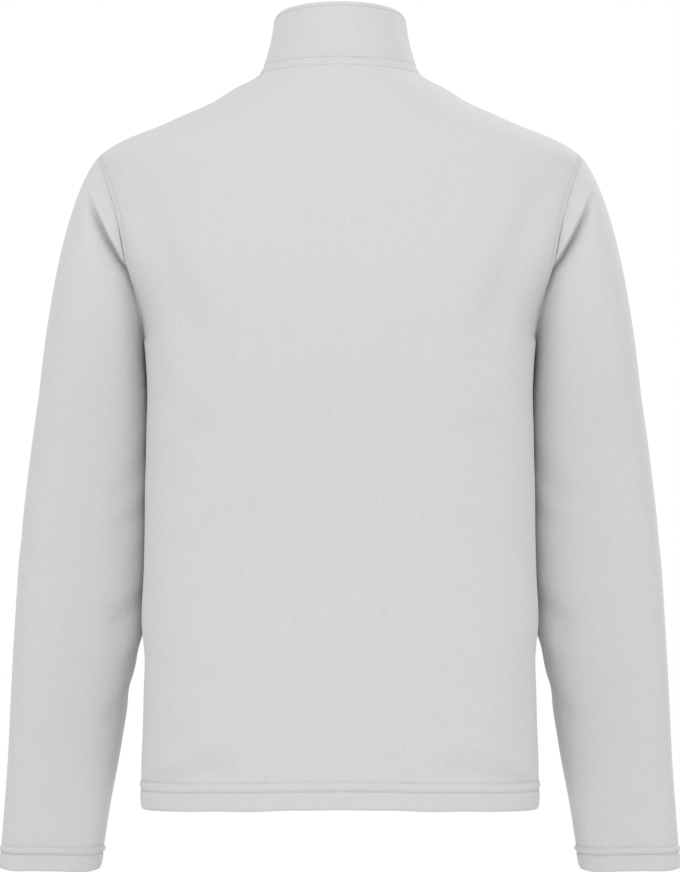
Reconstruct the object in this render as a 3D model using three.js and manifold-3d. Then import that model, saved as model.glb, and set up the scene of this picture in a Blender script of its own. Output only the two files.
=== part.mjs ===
// Fleece zip jacket, filled out as on a wearer, arms hanging: millimetres, +Z up, front towards -Y.
// The origin is the middle of the neck opening, level with the foot of the collar at the shoulders.
import * as THREE from "three";
import { mergeVertices } from "three/addons/utils/BufferGeometryUtils.js";
import Module from "manifold-3d";

// Driving sizes
const FLEECE = 2.4; // thickness of the cloth
const COLLAR_CLOTH = 3; // the collar is cut double
const SEAM_GAP = 0.3; // clearance between two sewn pieces
const NECK_HALF = 73; // half width of the neck opening
const NECK_SIDE = { y: -5, z: 9 }; // where the neck opening meets the shoulder seam
const NECK_BACK = { y: 62, z: 14 };
const NECK_FRONT = { y: -75, z: -60 };
const NECK_FRONT_FALL = 1.6; // how late the front neckline drops
const NECK_TURNS = [90, 76, 62, 48, 34, 20, 9]; // stations of the neck seam, centre to shoulder
const COLLAR_HALF = 63; // half width of the collar's top edge
const COLLAR_SIDE = { y: -22, z: 52 };
const COLLAR_BACK = { y: 52, z: 67 };
const COLLAR_FRONT = { y: -73, z: -6 };
const COLLAR_BACK_RISE = 0.55; // how quickly the back edge rises from the side
const COLLAR_WAIST = 1.6; // how far the collar's sides are drawn in between foot and edge
const SIDE_SEAM_Y = 20;
const ZIP_EDGE = 6.5; // from the centre line to each front's edge
const HEM = { side: -691, middle: -686, raise: 0.8, groove: 17.5, band: 26 };
const CUFF = { raise: 0.7, groove: 16, band: 23 };

// Centre line of the back and of the front, seen from the side
const BACK_PROFILE = [
  { z: -700, y: 126 },
  { z: -600, y: 121 },
  { z: -520, y: 116 },
  { z: -430, y: 114 },
  { z: -350, y: 119 },
  { z: -230, y: 127 },
  { z: -160, y: 124 },
  { z: -80, y: 109 },
  { z: -20, y: 84 },
  { z: 14, y: 62 },
];
const FRONT_PROFILE = [
  { z: -700, y: -126 },
  { z: -560, y: -122 },
  { z: -450, y: -122 },
  { z: -330, y: -127 },
  { z: -240, y: -127 },
  { z: -180, y: -118 },
  { z: -110, y: -97 },
  { z: -60, y: -75 },
  { z: -20, y: -57 },
  { z: 14, y: -44 },
];

// Level sections of the body: half width, and how far back its widest line lies. Above the shoulder tip
// the half width is the shoulder seam's own line, and between tip and armpit the sleeve cuts it off.
const BODY = [
  { z: -700, half: 186.6, middle: 20 },
  { z: -670, half: 187.6, middle: 20 },
  { z: -600, half: 185.7, middle: 20 },
  { z: -553, half: 184.8, middle: 20 },
  { z: -515, half: 187, middle: 20 },
  { z: -440, half: 184.6, middle: 20 },
  { z: -383, half: 183.7, middle: 20 },
  { z: -307, half: 182, middle: 20 },
  { z: -248, half: 184.8, middle: 19 },
  { z: -221, half: 194, middle: 15 },
  { z: -196, half: 206, middle: 11 },
  { z: -175, half: 216, middle: 8 },
  { z: -153, half: 222, middle: 5 },
  { z: -131, half: 225.5, middle: 2 },
  { z: -109, half: 228, middle: 0 },
  { z: -90, half: 229.6, middle: -1 },
  { z: -76, half: 229.6, middle: -2 },
  { z: -67, half: 218, middle: -2 },
  { z: -56, half: 196, middle: -2.5 },
  { z: -41, half: 159, middle: -3 },
  { z: -25.6, half: 125, middle: -4 },
  { z: -10.5, half: 100, middle: -4.5 },
  { z: -4, half: 86.5, middle: -5 },
  { z: 1, half: 78.5, middle: -5 },
  { z: 9, half: 73, middle: -5 },
  { z: 14, half: 71, middle: -5 },
];
const BODY_LEVELS = [-610, -553, -500, -440, -383, -330, -285]; // rows between hem and armpit
const LEAST_RISE = 5; // a panel's rows stay at least this far apart beside the armpit
const HEM_FADE = 200; // the hem's curve dies away over this height
const SQUARE = { high: 1.9, from: -250, to: -70 }; // sections are squarer below the armpits
const SHOULDER_TIP = { x: 229.6, y: -2, z: -76 };

// Armhole seam, going round from the shoulder tip over the back, the armpit and the front
const ARMHOLE = [
  { turn: 0, x: 229.6, y: -2, z: -76 },
  { turn: 25, x: 225.5, y: 20, z: -88 },
  { turn: 50, x: 217.7, y: 40, z: -109 },
  { turn: 70, x: 211, y: 51, z: -131 },
  { turn: 90, x: 206.3, y: 57, z: -153 },
  { turn: 110, x: 201.5, y: 58, z: -175 },
  { turn: 130, x: 195.5, y: 53, z: -196 },
  { turn: 150, x: 189, y: 41, z: -221 },
  { turn: 168, x: 184.5, y: 20, z: -248 },
  { turn: 186, x: 182.2, y: -8, z: -262 },
  { turn: 206, x: 184, y: -31, z: -250 },
  { turn: 228, x: 189, y: -46, z: -226 },
  { turn: 250, x: 196, y: -54, z: -196 },
  { turn: 275, x: 204, y: -54, z: -163 },
  { turn: 300, x: 212, y: -46, z: -133 },
  { turn: 325, x: 220.5, y: -31, z: -105 },
  { turn: 345, x: 227, y: -15, z: -85 },
  { turn: 360, x: 229.6, y: -2, z: -76 },
];
const ARMHOLE_MIDDLE = new THREE.Vector3(205, 2, -165);
const SIDE_SEAM_TURN = 168;
const ARMHOLE_STEPS = 12; // on each panel

// Level sections of the hanging sleeve
const SLEEVE = [
  { z: -757, inner: 231, outer: 326.4, middle: -48, depth: 52 },
  { z: -745, inner: 228.5, outer: 326, middle: -48, depth: 54 },
  { z: -700, inner: 221.6, outer: 322.4, middle: -46, depth: 62 },
  { z: -650, inner: 212.2, outer: 318.6, middle: -44, depth: 70 },
  { z: -605, inner: 204.6, outer: 316.2, middle: -41, depth: 78 },
  { z: -559, inner: 195.8, outer: 313.6, middle: -38, depth: 86 },
  { z: -527, inner: 189, outer: 311.6, middle: -36.5, depth: 90 },
  { z: -490, inner: 184.6, outer: 309.1, middle: -34, depth: 94 },
  { z: -444, inner: 182.6, outer: 305.8, middle: -32, depth: 100 },
  { z: -398, inner: 181, outer: 300.2, middle: -29, depth: 107 },
  { z: -350, inner: 180.6, outer: 293.9, middle: -25, depth: 116 },
  { z: -300, inner: 182, outer: 286.2, middle: -18, depth: 126 },
];
const SLEEVE_TOP = -300; // the level sections start here
const SLEEVE_SQUARE = 2.5; // 2 makes its sections round; more makes them flatter at the back and front
const SLEEVE_LEVELS = [-300, -350, -398, -444, -490, -527, -559, -605, -650, -695];
const SLEEVE_AXIS = { top: new THREE.Vector3(215, 0, -150), foot: new THREE.Vector3(279, -46, -750) };
const SLEEVE_FAN = [0.1, 0.25, 0.42, 0.6, 0.8]; // steps between the armhole and the first section
const UNDERARM_PUSH = 3.5; // how far the sleeve stands off below the armpit

// Soft folds, each a trough or ridge from one point to another on the back or front
const BODY_FOLDS = [
  { x0: 186, z0: -120, x1: 132, z1: -232, width: 17, depth: 2.6 },
  { x0: 182, z0: -372, x1: 142, z1: -392, width: 16, depth: 1.8 },
  { x0: 172, z0: -662, x1: 96, z1: -628, width: 15, depth: 1.6 },
];
const SLEEVE_CREASE = { x0: 238, z0: -116, x1: 197, z1: -190, width: 13, depth: 9 };

// Zip
const TAPE = { thick: 1, inner: 1.6, outer: 17, clear: 0.5 };
const CHAIN = { half: 3, thick: 2.2 };
const ZIP_BOX = { half: 4.5, high: 9, proud: 0.8 };
const SLIDER = { half: 4.5, high: 9, plate: 1.2, postHalf: 1.1, postHigh: 2.2 };
const BRIDGE = { half: 1, reach: 2.9, tunnel: 2.4, thick: 1 };
const PULL = { half: 3.6, long: 25, thick: 1.2, eyeHalf: 1.7, eye: 4.4, bar: 1.2, hole: 2 };
const SLIDER_BELOW_TOP = 5; // from the collar's edge to the slider

// Small helpers
const radians = (degrees) => (degrees * Math.PI) / 180;
const mix = (a, b, t) => a + (b - a) * t;
const clamp = (t) => Math.min(1, Math.max(0, t));

// One column of a table at a station along its key, on a smooth curve through the rows.
function read(table, key, column, at) {
  const rows = [...table].sort((a, b) => a[key] - b[key]);
  const last = rows.length - 1;
  let i = 0;
  while (i < last - 1 && at > rows[i + 1][key]) i += 1;
  const slope = (k) => {
    const low = rows[Math.max(0, k - 1)];
    const high = rows[Math.min(last, k + 1)];
    return (high[column] - low[column]) / (high[key] - low[key]);
  };
  const span = rows[i + 1][key] - rows[i][key];
  const t = clamp((at - rows[i][key]) / span);
  const t2 = t * t;
  const t3 = t2 * t;
  return (
    (2 * t3 - 3 * t2 + 1) * rows[i][column] +
    (t3 - 2 * t2 + t) * span * slope(i) +
    (3 * t2 - 2 * t3) * rows[i + 1][column] +
    (t3 - t2) * span * slope(i + 1)
  );
}

// How much of a fold is felt at a point: 1 on its line, fading across its width and towards its ends.
function foldShare(fold, x, z) {
  const dx = fold.x1 - fold.x0;
  const dz = fold.z1 - fold.z0;
  const length = Math.hypot(dx, dz);
  const along = ((x - fold.x0) * dx + (z - fold.z0) * dz) / (length * length);
  const across = ((x - fold.x0) * dz - (z - fold.z0) * dx) / length;
  const ends = Math.max(0, Math.max(-along, along - 1)) * length;
  return Math.exp(-((across / fold.width) ** 2) - (ends / fold.width) ** 2);
}

// Walls

// Direction across the cloth at each point of a grid, pointing away from the line of middles.
function outward(grid, ring, middleOf) {
  const rows = grid.length;
  const columns = grid[0].length;
  return grid.map((line, r) =>
    line.map((point, c) => {
      const before = ring ? line[(c + columns - 1) % columns] : line[Math.max(0, c - 1)];
      const after = ring ? line[(c + 1) % columns] : line[Math.min(columns - 1, c + 1)];
      const below = grid[Math.max(0, r - 1)][c];
      const above = grid[Math.min(rows - 1, r + 1)][c];
      const normal = after.clone().sub(before).cross(above.clone().sub(below)).normalize();
      return normal.dot(point.clone().sub(middleOf(point))) < 0 ? normal.negate() : normal;
    }),
  );
}

// The grid moved out along its directions; a negative distance moves it in.
function moved(grid, directions, distance) {
  return grid.map((line, r) =>
    line.map((point, c) => point.clone().addScaledVector(directions[r][c], distance)),
  );
}

// A closed solid between two matching grids; a ring closes on itself round its rows.
function wall(outer, inner, ring) {
  const rows = outer.length;
  const columns = outer[0].length;
  const around = ring ? columns : columns - 1;
  const positions = [...outer.flat(), ...inner.flat()].flatMap((p) => [p.x, p.y, p.z]);
  const faces = [];
  const at = (layer, r, c) => (layer * rows + r) * columns + (c % columns);
  const quad = (a, b, c, d) => faces.push(a, b, c, a, c, d);
  for (let r = 0; r < rows - 1; r += 1) {
    for (let c = 0; c < around; c += 1) {
      quad(at(0, r, c), at(0, r, c + 1), at(0, r + 1, c + 1), at(0, r + 1, c));
      quad(at(1, r, c), at(1, r + 1, c), at(1, r + 1, c + 1), at(1, r, c + 1));
    }
  }
  for (let c = 0; c < around; c += 1) {
    quad(at(0, 0, c), at(1, 0, c), at(1, 0, c + 1), at(0, 0, c + 1));
    quad(at(0, rows - 1, c), at(0, rows - 1, c + 1), at(1, rows - 1, c + 1), at(1, rows - 1, c));
  }
  for (let r = 0; r < rows - 1 && !ring; r += 1) {
    const end = columns - 1;
    quad(at(0, r, 0), at(0, r + 1, 0), at(1, r + 1, 0), at(1, r, 0));
    quad(at(0, r, end), at(1, r, end), at(1, r + 1, end), at(0, r + 1, end));
  }
  return faceOut(new THREE.BufferGeometry()
    .setAttribute("position", new THREE.Float32BufferAttribute(positions, 3))
    .setIndex(faces));
}

// Turns every face round if the solid's volume comes out negative.
function faceOut(geometry) {
  const position = geometry.getAttribute("position");
  const index = [...geometry.getIndex().array];
  const corner = (i) => new THREE.Vector3().fromBufferAttribute(position, index[i]);
  let volume = 0;
  for (let i = 0; i < index.length; i += 3) {
    volume += corner(i).dot(corner(i + 1).cross(corner(i + 2)));
  }
  if (volume < 0) geometry.setIndex(index.reverse());
  geometry.computeVertexNormals();
  return geometry;
}

const mirrored = (point) => new THREE.Vector3(-point.x, point.y, point.z);

// Neck opening

// A point of the neck seam: 0 degrees is at the shoulder seam, 90 at the centre.
function neckSeam(turn, end) {
  const across = Math.cos(radians(turn));
  const towards = Math.sin(radians(turn));
  const fall = end === NECK_FRONT ? towards ** NECK_FRONT_FALL : towards;
  return new THREE.Vector3(
    NECK_HALF * across,
    mix(NECK_SIDE.y, end.y, towards),
    mix(NECK_SIDE.z, end.z, fall),
  );
}

// Body

const BACK = { end: NECK_BACK, profile: BACK_PROFILE, square: 2.8, first: 0 };
const FRONT = { end: NECK_FRONT, profile: FRONT_PROFILE, square: 2.2, first: ZIP_EDGE };
const EDGE_PULL = 6; // how quickly a panel's edge correction dies away from the armhole
const TOP_PULL = 45; // how far below the neck seam the cloth is drawn to it
const SHOULDER_COLUMNS = 9; // from the neck to the shoulder tip
const SHOULDER_SPREAD = 0.9; // how closely those columns crowd towards the tip

// Height of the shoulder seam at a distance from the centre line.
function shoulderHeight(x) {
  let low = SHOULDER_TIP.z;
  let high = NECK_SIDE.z;
  for (let step = 0; step < 30; step += 1) {
    const middle = (low + high) / 2;
    if (read(BODY, "z", "half", middle) > x) low = middle;
    else high = middle;
  }
  return low;
}

// Top of a column: on the neck seam or on the shoulder seam.
function columnTop(side, x) {
  if (x <= NECK_HALF) return neckSeam((Math.acos(x / NECK_HALF) * 180) / Math.PI, side.end);
  const z = shoulderHeight(x);
  return new THREE.Vector3(x, read(BODY, "z", "middle", z), z);
}

// Point of the armhole seam.
function armhole(turn) {
  return new THREE.Vector3(
    read(ARMHOLE, "turn", "x", turn),
    read(ARMHOLE, "turn", "y", turn),
    read(ARMHOLE, "turn", "z", turn),
  );
}

// Rows of a panel from hem to shoulder, each with its edge point on the side seam or armhole.
function panelRows(side) {
  const top = armhole(SIDE_SEAM_TURN);
  const levels = [...turnedHeights(HEM).map((up) => HEM.side + up), ...BODY_LEVELS];
  const rows = levels.map((z) => {
    const edge = new THREE.Vector3(read(BODY, "z", "half", z), SIDE_SEAM_Y, z);
    return { z, up: z - HEM.side, rise: 0, edge };
  });
  const far = side === BACK ? 0 : 360;
  let z = rows[rows.length - 1].z;
  for (let step = 0; step <= ARMHOLE_STEPS; step += 1) {
    const turn = mix(SIDE_SEAM_TURN, far, step / ARMHOLE_STEPS);
    const edge = armhole(turn);
    z = step === 0 ? top.z : Math.max(edge.z, z + LEAST_RISE);
    const rise = (z - top.z) / (SHOULDER_TIP.z - top.z);
    rows.push({ z, up: z - HEM.side, rise, turn, edge });
  }
  return rows;
}

// Depth of the body's free form at a place seen from behind or in front.
function formDepth(side, x, z) {
  const high = clamp((z - SQUARE.from) / (SQUARE.to - SQUARE.from));
  const square = mix(side.square, SQUARE.high, high * high * (3 - 2 * high));
  const middle = read(BODY, "z", "middle", z);
  const share = Math.min(1, x / read(BODY, "z", "half", z));
  const bulge = (1 - share ** square) ** (1 / square);
  const sign = side === BACK ? 1 : -1;
  const folds = BODY_FOLDS.reduce((sum, fold) => sum + fold.depth * foldShare(fold, x, z), 0);
  return mix(middle, read(side.profile, "z", "y", z), bulge) - sign * folds * clamp(4 * bulge - 1);
}

// Point of a panel's outer face: the free form, drawn to the seams round it.
function bodyPoint(side, x, row) {
  const share = x / row.edge.x;
  const top = columnTop(side, share * SHOULDER_TIP.x);
  const hem = (HEM.middle - HEM.side) * (1 - share ** 2) * clamp(1 - row.up / HEM_FADE);
  const z = row.z + hem + row.rise * (top.z - SHOULDER_TIP.z);
  const nearTop = clamp(1 - (top.z - z) / TOP_PULL) ** 2;
  const topMiss = top.y - formDepth(side, share * SHOULDER_TIP.x, top.z);
  const point = new THREE.Vector3(x, formDepth(side, x, z) + nearTop * topMiss, z);
  const freeEdge = new THREE.Vector3(row.edge.x, formDepth(side, row.edge.x, row.z), row.z);
  const edgeMiss = row.edge.clone().sub(freeEdge);
  return share > 0 ? point.addScaledVector(edgeMiss, share ** EDGE_PULL) : point;
}

// Columns of a panel, as shares of the way from the centre line to the edge.
function panelShares() {
  const neck = NECK_TURNS.map((turn) => NECK_HALF * Math.cos(radians(turn)));
  neck[0] = 0;
  const steps = SHOULDER_COLUMNS;
  const shoulder = Array.from({ length: steps + 1 }, (_, i) =>
    mix(NECK_HALF, SHOULDER_TIP.x, Math.sin((i / steps) * (Math.PI / 2)) ** SHOULDER_SPREAD),
  );
  return [...neck, ...shoulder].map((x) => x / SHOULDER_TIP.x);
}

function panelX(side, share, row) {
  const offset = side.first / SHOULDER_TIP.x;
  if (side.first === 0) return share * row.edge.x;
  return side.first + (row.edge.x - side.first) * ((Math.max(share, offset) - offset) / (1 - offset));
}

const TURNED = { rimHigh: 3, step: 1.5, rimShare: 0.4, ridgeShare: 0.5, clear: 14 };

// Rows that a turned hem or cuff needs, up from its edge.
function turnedHeights(edge) {
  const { rimHigh, step, clear } = TURNED;
  return [0, rimHigh, edge.groove - step - 0.5, edge.groove, edge.band + step - 0.5, edge.band + clear];
}

// Raised turned hem: how far the outer face stands out at a height above the edge.
function turnedEdge(up, edge) {
  const { step, rimShare, ridgeShare } = TURNED;
  if (up <= 0) return edge.raise * rimShare;
  if (up < edge.groove - step) return edge.raise;
  if (up < edge.groove + step) return 0;
  if (up < edge.band + step) return edge.raise * ridgeShare;
  return 0;
}

const bodyMiddle = (point) => new THREE.Vector3(0, 0, point.z - 20);

// Common direction of both cloths at a point of the armhole seam.
function seamDirection(turn) {
  const point = armhole(turn);
  const tangent = armhole((turn + 2) % 360).sub(armhole((turn + 358) % 360)).normalize();
  const direction = point.sub(ARMHOLE_MIDDLE).normalize().add(new THREE.Vector3(0.7, 0, 0));
  return direction.addScaledVector(tangent, -direction.dot(tangent)).normalize();
}

// Near the shoulder both cloths share the seam's direction; near the armpit each keeps its own.
function atSeam(own, turn) {
  const share = (1 - Math.cos(radians(turn))) / 2;
  return seamDirection(turn).multiplyScalar(1 - share).addScaledVector(own, share).normalize();
}

// Outer points and directions of half a panel, centre line first.
function panelGrid(side) {
  const rows = panelRows(side);
  const shares = panelShares();
  const grid = rows.map((row) => shares.map((share) => bodyPoint(side, panelX(side, share, row), row)));
  const directions = outward(grid, false, bodyMiddle);
  const end = shares.length - 1;
  rows.forEach((row, r) => {
    directions[r][0].setX(0).normalize();
    if (row.turn === undefined) directions[r][end].set(1, 0, 0);
    else directions[r][end].copy(atSeam(directions[r][end], row.turn));
    if (row.turn === SIDE_SEAM_TURN) directions[r][end].setY(0).normalize();
  });
  directions[rows.length - 1].forEach((direction, c) => {
    if (c > 0 && shares[c] * SHOULDER_TIP.x >= NECK_HALF) direction.setY(0).normalize();
  });
  const raised = grid.map((line, r) =>
    line.map((p, c) => p.clone().addScaledVector(directions[r][c], turnedEdge(rows[r].up, HEM))),
  );
  return { grid, raised, directions, rows };
}

// Half the seam gap is taken off each panel at the side and shoulder seams.
function openSeam(grid, side) {
  const sign = side === BACK ? 1 : -1;
  const last = grid.length - 1;
  const sideSeamTop = armhole(SIDE_SEAM_TURN).z + SEAM_GAP;
  grid.forEach((line, r) => {
    const end = line.length - 1;
    line.forEach((point, c) => {
      const onShoulder = r === last && point.x >= NECK_HALF - FLEECE;
      const onSide = c === end && point.z < sideSeamTop + FLEECE;
      if (onShoulder || onSide) point.y += (sign * SEAM_GAP) / 2;
    });
  });
}

function bodyPanel(side) {
  const { grid, raised, directions } = panelGrid(side);
  const inner = moved(grid, directions, -FLEECE);
  openSeam(raised, side);
  openSeam(inner, side);
  return { outer: raised, inner };
}

function backPanel() {
  const { outer, inner } = bodyPanel(BACK);
  const whole = (grid) => grid.map((line) => [...line.slice(1).reverse().map(mirrored), ...line]);
  return wall(whole(outer), whole(inner), false);
}

function frontPanel(hand) {
  const { outer, inner } = bodyPanel(FRONT);
  const turned = (grid) => (hand > 0 ? grid : grid.map((line) => line.map(mirrored)));
  return wall(turned(outer), turned(inner), false);
}

// Sleeves

const ringTurns = [
  ...Array.from({ length: ARMHOLE_STEPS }, (_, i) => mix(0, SIDE_SEAM_TURN, i / ARMHOLE_STEPS)),
  ...Array.from({ length: ARMHOLE_STEPS }, (_, i) => mix(SIDE_SEAM_TURN, 360, i / ARMHOLE_STEPS)),
];

// Level section of the hanging sleeve: 0 degrees outside, 90 at the back, 180 at the body.
function sleeveSection(turn, z) {
  const inner = read(SLEEVE, "z", "inner", z);
  const outer = read(SLEEVE, "z", "outer", z);
  const depth = read(SLEEVE, "z", "depth", z);
  const flatter = (share) => Math.sign(share) * Math.abs(share) ** (2 / SLEEVE_SQUARE);
  return new THREE.Vector3(
    (inner + outer) / 2 + ((outer - inner) / 2) * flatter(Math.cos(radians(turn))),
    read(SLEEVE, "z", "middle", z) + (depth / 2) * flatter(Math.sin(radians(turn))),
    z,
  );
}

const HEAD_BEND = { down: 0.8, out: 0.7, share: 0.7 }; // where the head's lines turn down
const CREASE_START = 0.15; // share of the head over which its crease grows from the seam

// Sleeve head: each line leaves the armhole seam outwards and bends down to the first level section.
function sleeveHead(turn, t) {
  const start = armhole(turn);
  const end = sleeveSection(turn, SLEEVE_TOP);
  const below = sleeveSection(turn, SLEEVE_TOP - 30);
  const slope = end.clone().sub(below).divideScalar(30);
  const bend = end.clone().addScaledVector(slope, HEAD_BEND.down * (start.z - end.z));
  bend.x = mix(bend.x, mix(start.x, end.x, HEAD_BEND.out), HEAD_BEND.share);
  bend.x += UNDERARM_PUSH * Math.max(0, -Math.cos(radians(turn)));
  const a = (1 - t) ** 2;
  const b = 2 * t * (1 - t);
  const point = start.multiplyScalar(a).addScaledVector(bend, b).addScaledVector(end, t * t);
  const facing = Math.sin(radians(turn));
  const fade = clamp(t / CREASE_START) * Math.sign(facing) * Math.abs(facing);
  point.y -= SLEEVE_CREASE.depth * fade * foldShare(SLEEVE_CREASE, point.x, point.z);
  return point;
}

// Middle of the arm at the height of a point.
function armMiddle(point) {
  const { top, foot } = SLEEVE_AXIS;
  const share = clamp((top.z - point.z) / (top.z - foot.z));
  return top.clone().lerp(foot, share).setZ(point.z);
}

// The armhole seam moved across by the seam gap: the sleeve's first row.
function sleeveEdge(turn) {
  const tangent = armhole((turn + 2) % 360).sub(armhole((turn + 358) % 360));
  const across = tangent.cross(seamDirection(turn)).normalize();
  return armhole(turn).addScaledVector(across, across.x < 0 ? -SEAM_GAP : SEAM_GAP);
}

function sleeve(hand) {
  const end = SLEEVE[0].z;
  const cuffLevels = turnedHeights(CUFF).reverse().map((up) => end + up);
  const grid = [
    ringTurns.map(sleeveEdge),
    ...SLEEVE_FAN.map((t) => ringTurns.map((turn) => sleeveHead(turn, t))),
    ...[...SLEEVE_LEVELS, ...cuffLevels].map((z) => ringTurns.map((turn) => sleeveSection(turn, z))),
  ];
  const directions = outward(grid, true, armMiddle);
  ringTurns.forEach((turn, i) => directions[0][i].copy(atSeam(directions[0][i], turn)));
  const raised = grid.map((ring, r) =>
    ring.map((p, i) => p.clone().addScaledVector(directions[r][i], turnedEdge(p.z - end, CUFF))),
  );
  const turned = (rings) => (hand > 0 ? rings : rings.map((ring) => ring.map(mirrored)));
  return wall(turned(raised), turned(moved(grid, directions, -FLEECE)), true);
}

// Collar

// Point of the collar's outer face: 0 degrees at the side, 90 at the centre, up from its foot.
function collarPoint(turn, end, up) {
  const foot = neckSeam(turn, end);
  const top = end === NECK_BACK ? COLLAR_BACK : COLLAR_FRONT;
  const across = Math.cos(radians(turn));
  const towards = Math.sin(radians(turn));
  const fall = towards ** (end === NECK_FRONT ? NECK_FRONT_FALL : COLLAR_BACK_RISE);
  const rim = new THREE.Vector3(
    COLLAR_HALF * across,
    mix(COLLAR_SIDE.y, top.y, towards),
    mix(COLLAR_SIDE.z, top.z, fall),
  );
  const point = foot.lerp(rim, up);
  point.x -= COLLAR_WAIST * across ** 3 * Math.sin(Math.PI * up);
  point.z += SEAM_GAP * (1 - up);
  return point;
}

const COLLAR_UPS = [0, 0.3, 0.62, 0.93, 1];
const turnAtX = (x, half) => (Math.acos(clamp(x / half)) * 180) / Math.PI;

function collarGrid() {
  const half = COLLAR_UPS.map((up) => {
    const zipTurn = turnAtX(ZIP_EDGE, mix(NECK_HALF, COLLAR_HALF, up));
    const front = [zipTurn, ...NECK_TURNS.slice(1)].map((turn) => collarPoint(turn, NECK_FRONT, up));
    const back = [0, ...[...NECK_TURNS].reverse()].map((turn) => collarPoint(turn, NECK_BACK, up));
    return [...front, ...back];
  });
  return half.map((line) => [...line, ...line.slice(0, -1).reverse().map(mirrored)]);
}

function collar() {
  const grid = collarGrid();
  const directions = outward(grid, false, (p) => new THREE.Vector3(0, -8, p.z - 10));
  directions.forEach((line) => {
    line[0].setX(0).normalize();
    line[line.length - 1].setX(0).normalize();
  });
  directions[0].forEach((direction) => direction.setZ(0).normalize());
  return wall(grid, moved(grid, directions, -COLLAR_CLOTH), false);
}

// Zip

// Line up the front at one distance from the centre: hem, neck seam, collar top.
function zipLine(x) {
  const onFront = panelRows(FRONT).map((row) => bodyPoint(FRONT, x, row));
  const onCollar = COLLAR_UPS.slice(1).map((up) =>
    collarPoint(turnAtX(x, mix(NECK_HALF, COLLAR_HALF, up)), NECK_FRONT, up),
  );
  return [...onFront, ...onCollar];
}

const TAPE_FACE = FLEECE + TAPE.clear; // depth of the tape's face behind the front's outer face
const CHAIN_BACK = TAPE_FACE - SEAM_GAP;
const THICKENING = 8; // height below the neck seam over which the zip sinks to the collar's depth
const collarFoot = collarPoint(90, NECK_FRONT, 0);
const collarRise = collarPoint(90, NECK_FRONT, 1).sub(collarFoot);
const sliderShare = 1 - (SLIDER_BELOW_TOP + SLIDER.high / 2) / collarRise.length();
const sliderPoint = collarPoint(90, NECK_FRONT, sliderShare);
const chainShare = sliderShare + (SLIDER.high / 2 - SLIDER.postHigh - SEAM_GAP) / collarRise.length();
const chainTop = collarPoint(90, NECK_FRONT, chainShare);
const hemPoint = new THREE.Vector3(0, read(FRONT_PROFILE, "z", "y", HEM.middle + 1), HEM.middle + 1);

// The rows of a strip between two heights, cut level at both ends.
function trimmed(grid, from, to) {
  const cut = (low, high, z) => {
    const t = (z - low[0].z) / (high[0].z - low[0].z);
    return low.map((p, c) => p.clone().lerp(high[c], t));
  };
  const rows = grid.filter((line) => line[0].z > from && line[0].z < to);
  const first = grid.indexOf(rows[0]);
  const last = grid.indexOf(rows[rows.length - 1]);
  if (first > 0) rows.unshift(cut(grid[first - 1], grid[first], from));
  if (last < grid.length - 1) rows.push(cut(grid[last], grid[last + 1], to));
  return rows;
}

// A strip that follows the zip, between two depths behind the outer face of the fronts.
function zipStrip(xs, near, far, from, to) {
  const lines = xs.map((x) => zipLine(Math.abs(x)).map((p) => p.setX(x)));
  const grid = trimmed(lines[0].map((_, r) => lines.map((line) => line[r])), from, to);
  const directions = outward(grid, false, (p) => new THREE.Vector3(p.x, 60, p.z - 20));
  directions.forEach((line) => line.forEach((direction) => direction.setX(0).normalize()));
  const thicker = (p) => (COLLAR_CLOTH - FLEECE) * clamp(1 + (p.z - NECK_FRONT.z) / THICKENING);
  const sunk = (depth) =>
    grid.map((line, r) =>
      line.map((p, c) => p.clone().addScaledVector(directions[r][c], -depth - thicker(p))),
    );
  return wall(sunk(near), sunk(far), false);
}

function zipTape(hand) {
  const xs = [TAPE.inner, ZIP_EDGE, TAPE.outer].map((x) => x * hand);
  return zipStrip(xs, TAPE_FACE, TAPE_FACE + TAPE.thick, HEM.middle + 1, COLLAR_FRONT.z - 1);
}

function zipChain() {
  const xs = [-CHAIN.half, 0, CHAIN.half];
  const low = HEM.middle + 1 + ZIP_BOX.high + SEAM_GAP;
  return zipStrip(xs, CHAIN_BACK - CHAIN.thick, CHAIN_BACK, low, chainTop.z);
}

// A box given by its ranges: x across, out away from the cloth, z up along the zip.
function block(half, out, up) {
  const [near, far] = out;
  const [low, high] = up;
  return new THREE.BoxGeometry(2 * half, far - near, high - low)
    .translate(0, -(near + far) / 2, (low + high) / 2);
}

// Front of the slider is its plate's face; depths are counted out from the collar's outer face.
const PLATE_BACK = SEAM_GAP - (CHAIN_BACK - CHAIN.thick + COLLAR_CLOTH - FLEECE);
const PLATE_FRONT = PLATE_BACK + SLIDER.plate;
const BACK_PLATE_FRONT = -(TAPE_FACE + TAPE.thick + COLLAR_CLOTH - FLEECE + SEAM_GAP);
const BAR_OUT = PLATE_FRONT + BRIDGE.tunnel / 2;

async function zipSlider() {
  const half = SLIDER.high / 2;
  const back = BACK_PLATE_FRONT - SLIDER.plate;
  const crown = PLATE_FRONT + BRIDGE.tunnel;
  const feet = [BRIDGE.reach - BRIDGE.thick, BRIDGE.reach];
  const blocks = [
    block(SLIDER.half, [PLATE_BACK, PLATE_FRONT], [-half, half]),
    block(SLIDER.half, [back, BACK_PLATE_FRONT], [-half, half]),
    block(SLIDER.postHalf, [back, PLATE_FRONT], [half - SLIDER.postHigh, half]),
    block(BRIDGE.half, [crown, crown + BRIDGE.thick], [-BRIDGE.reach, BRIDGE.reach]),
    block(BRIDGE.half, [PLATE_FRONT - SEAM_GAP, crown + BRIDGE.thick], feet),
    block(BRIDGE.half, [PLATE_FRONT - SEAM_GAP, crown + BRIDGE.thick], [-feet[1], -feet[0]]),
  ];
  return joined(blocks);
}

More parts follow.
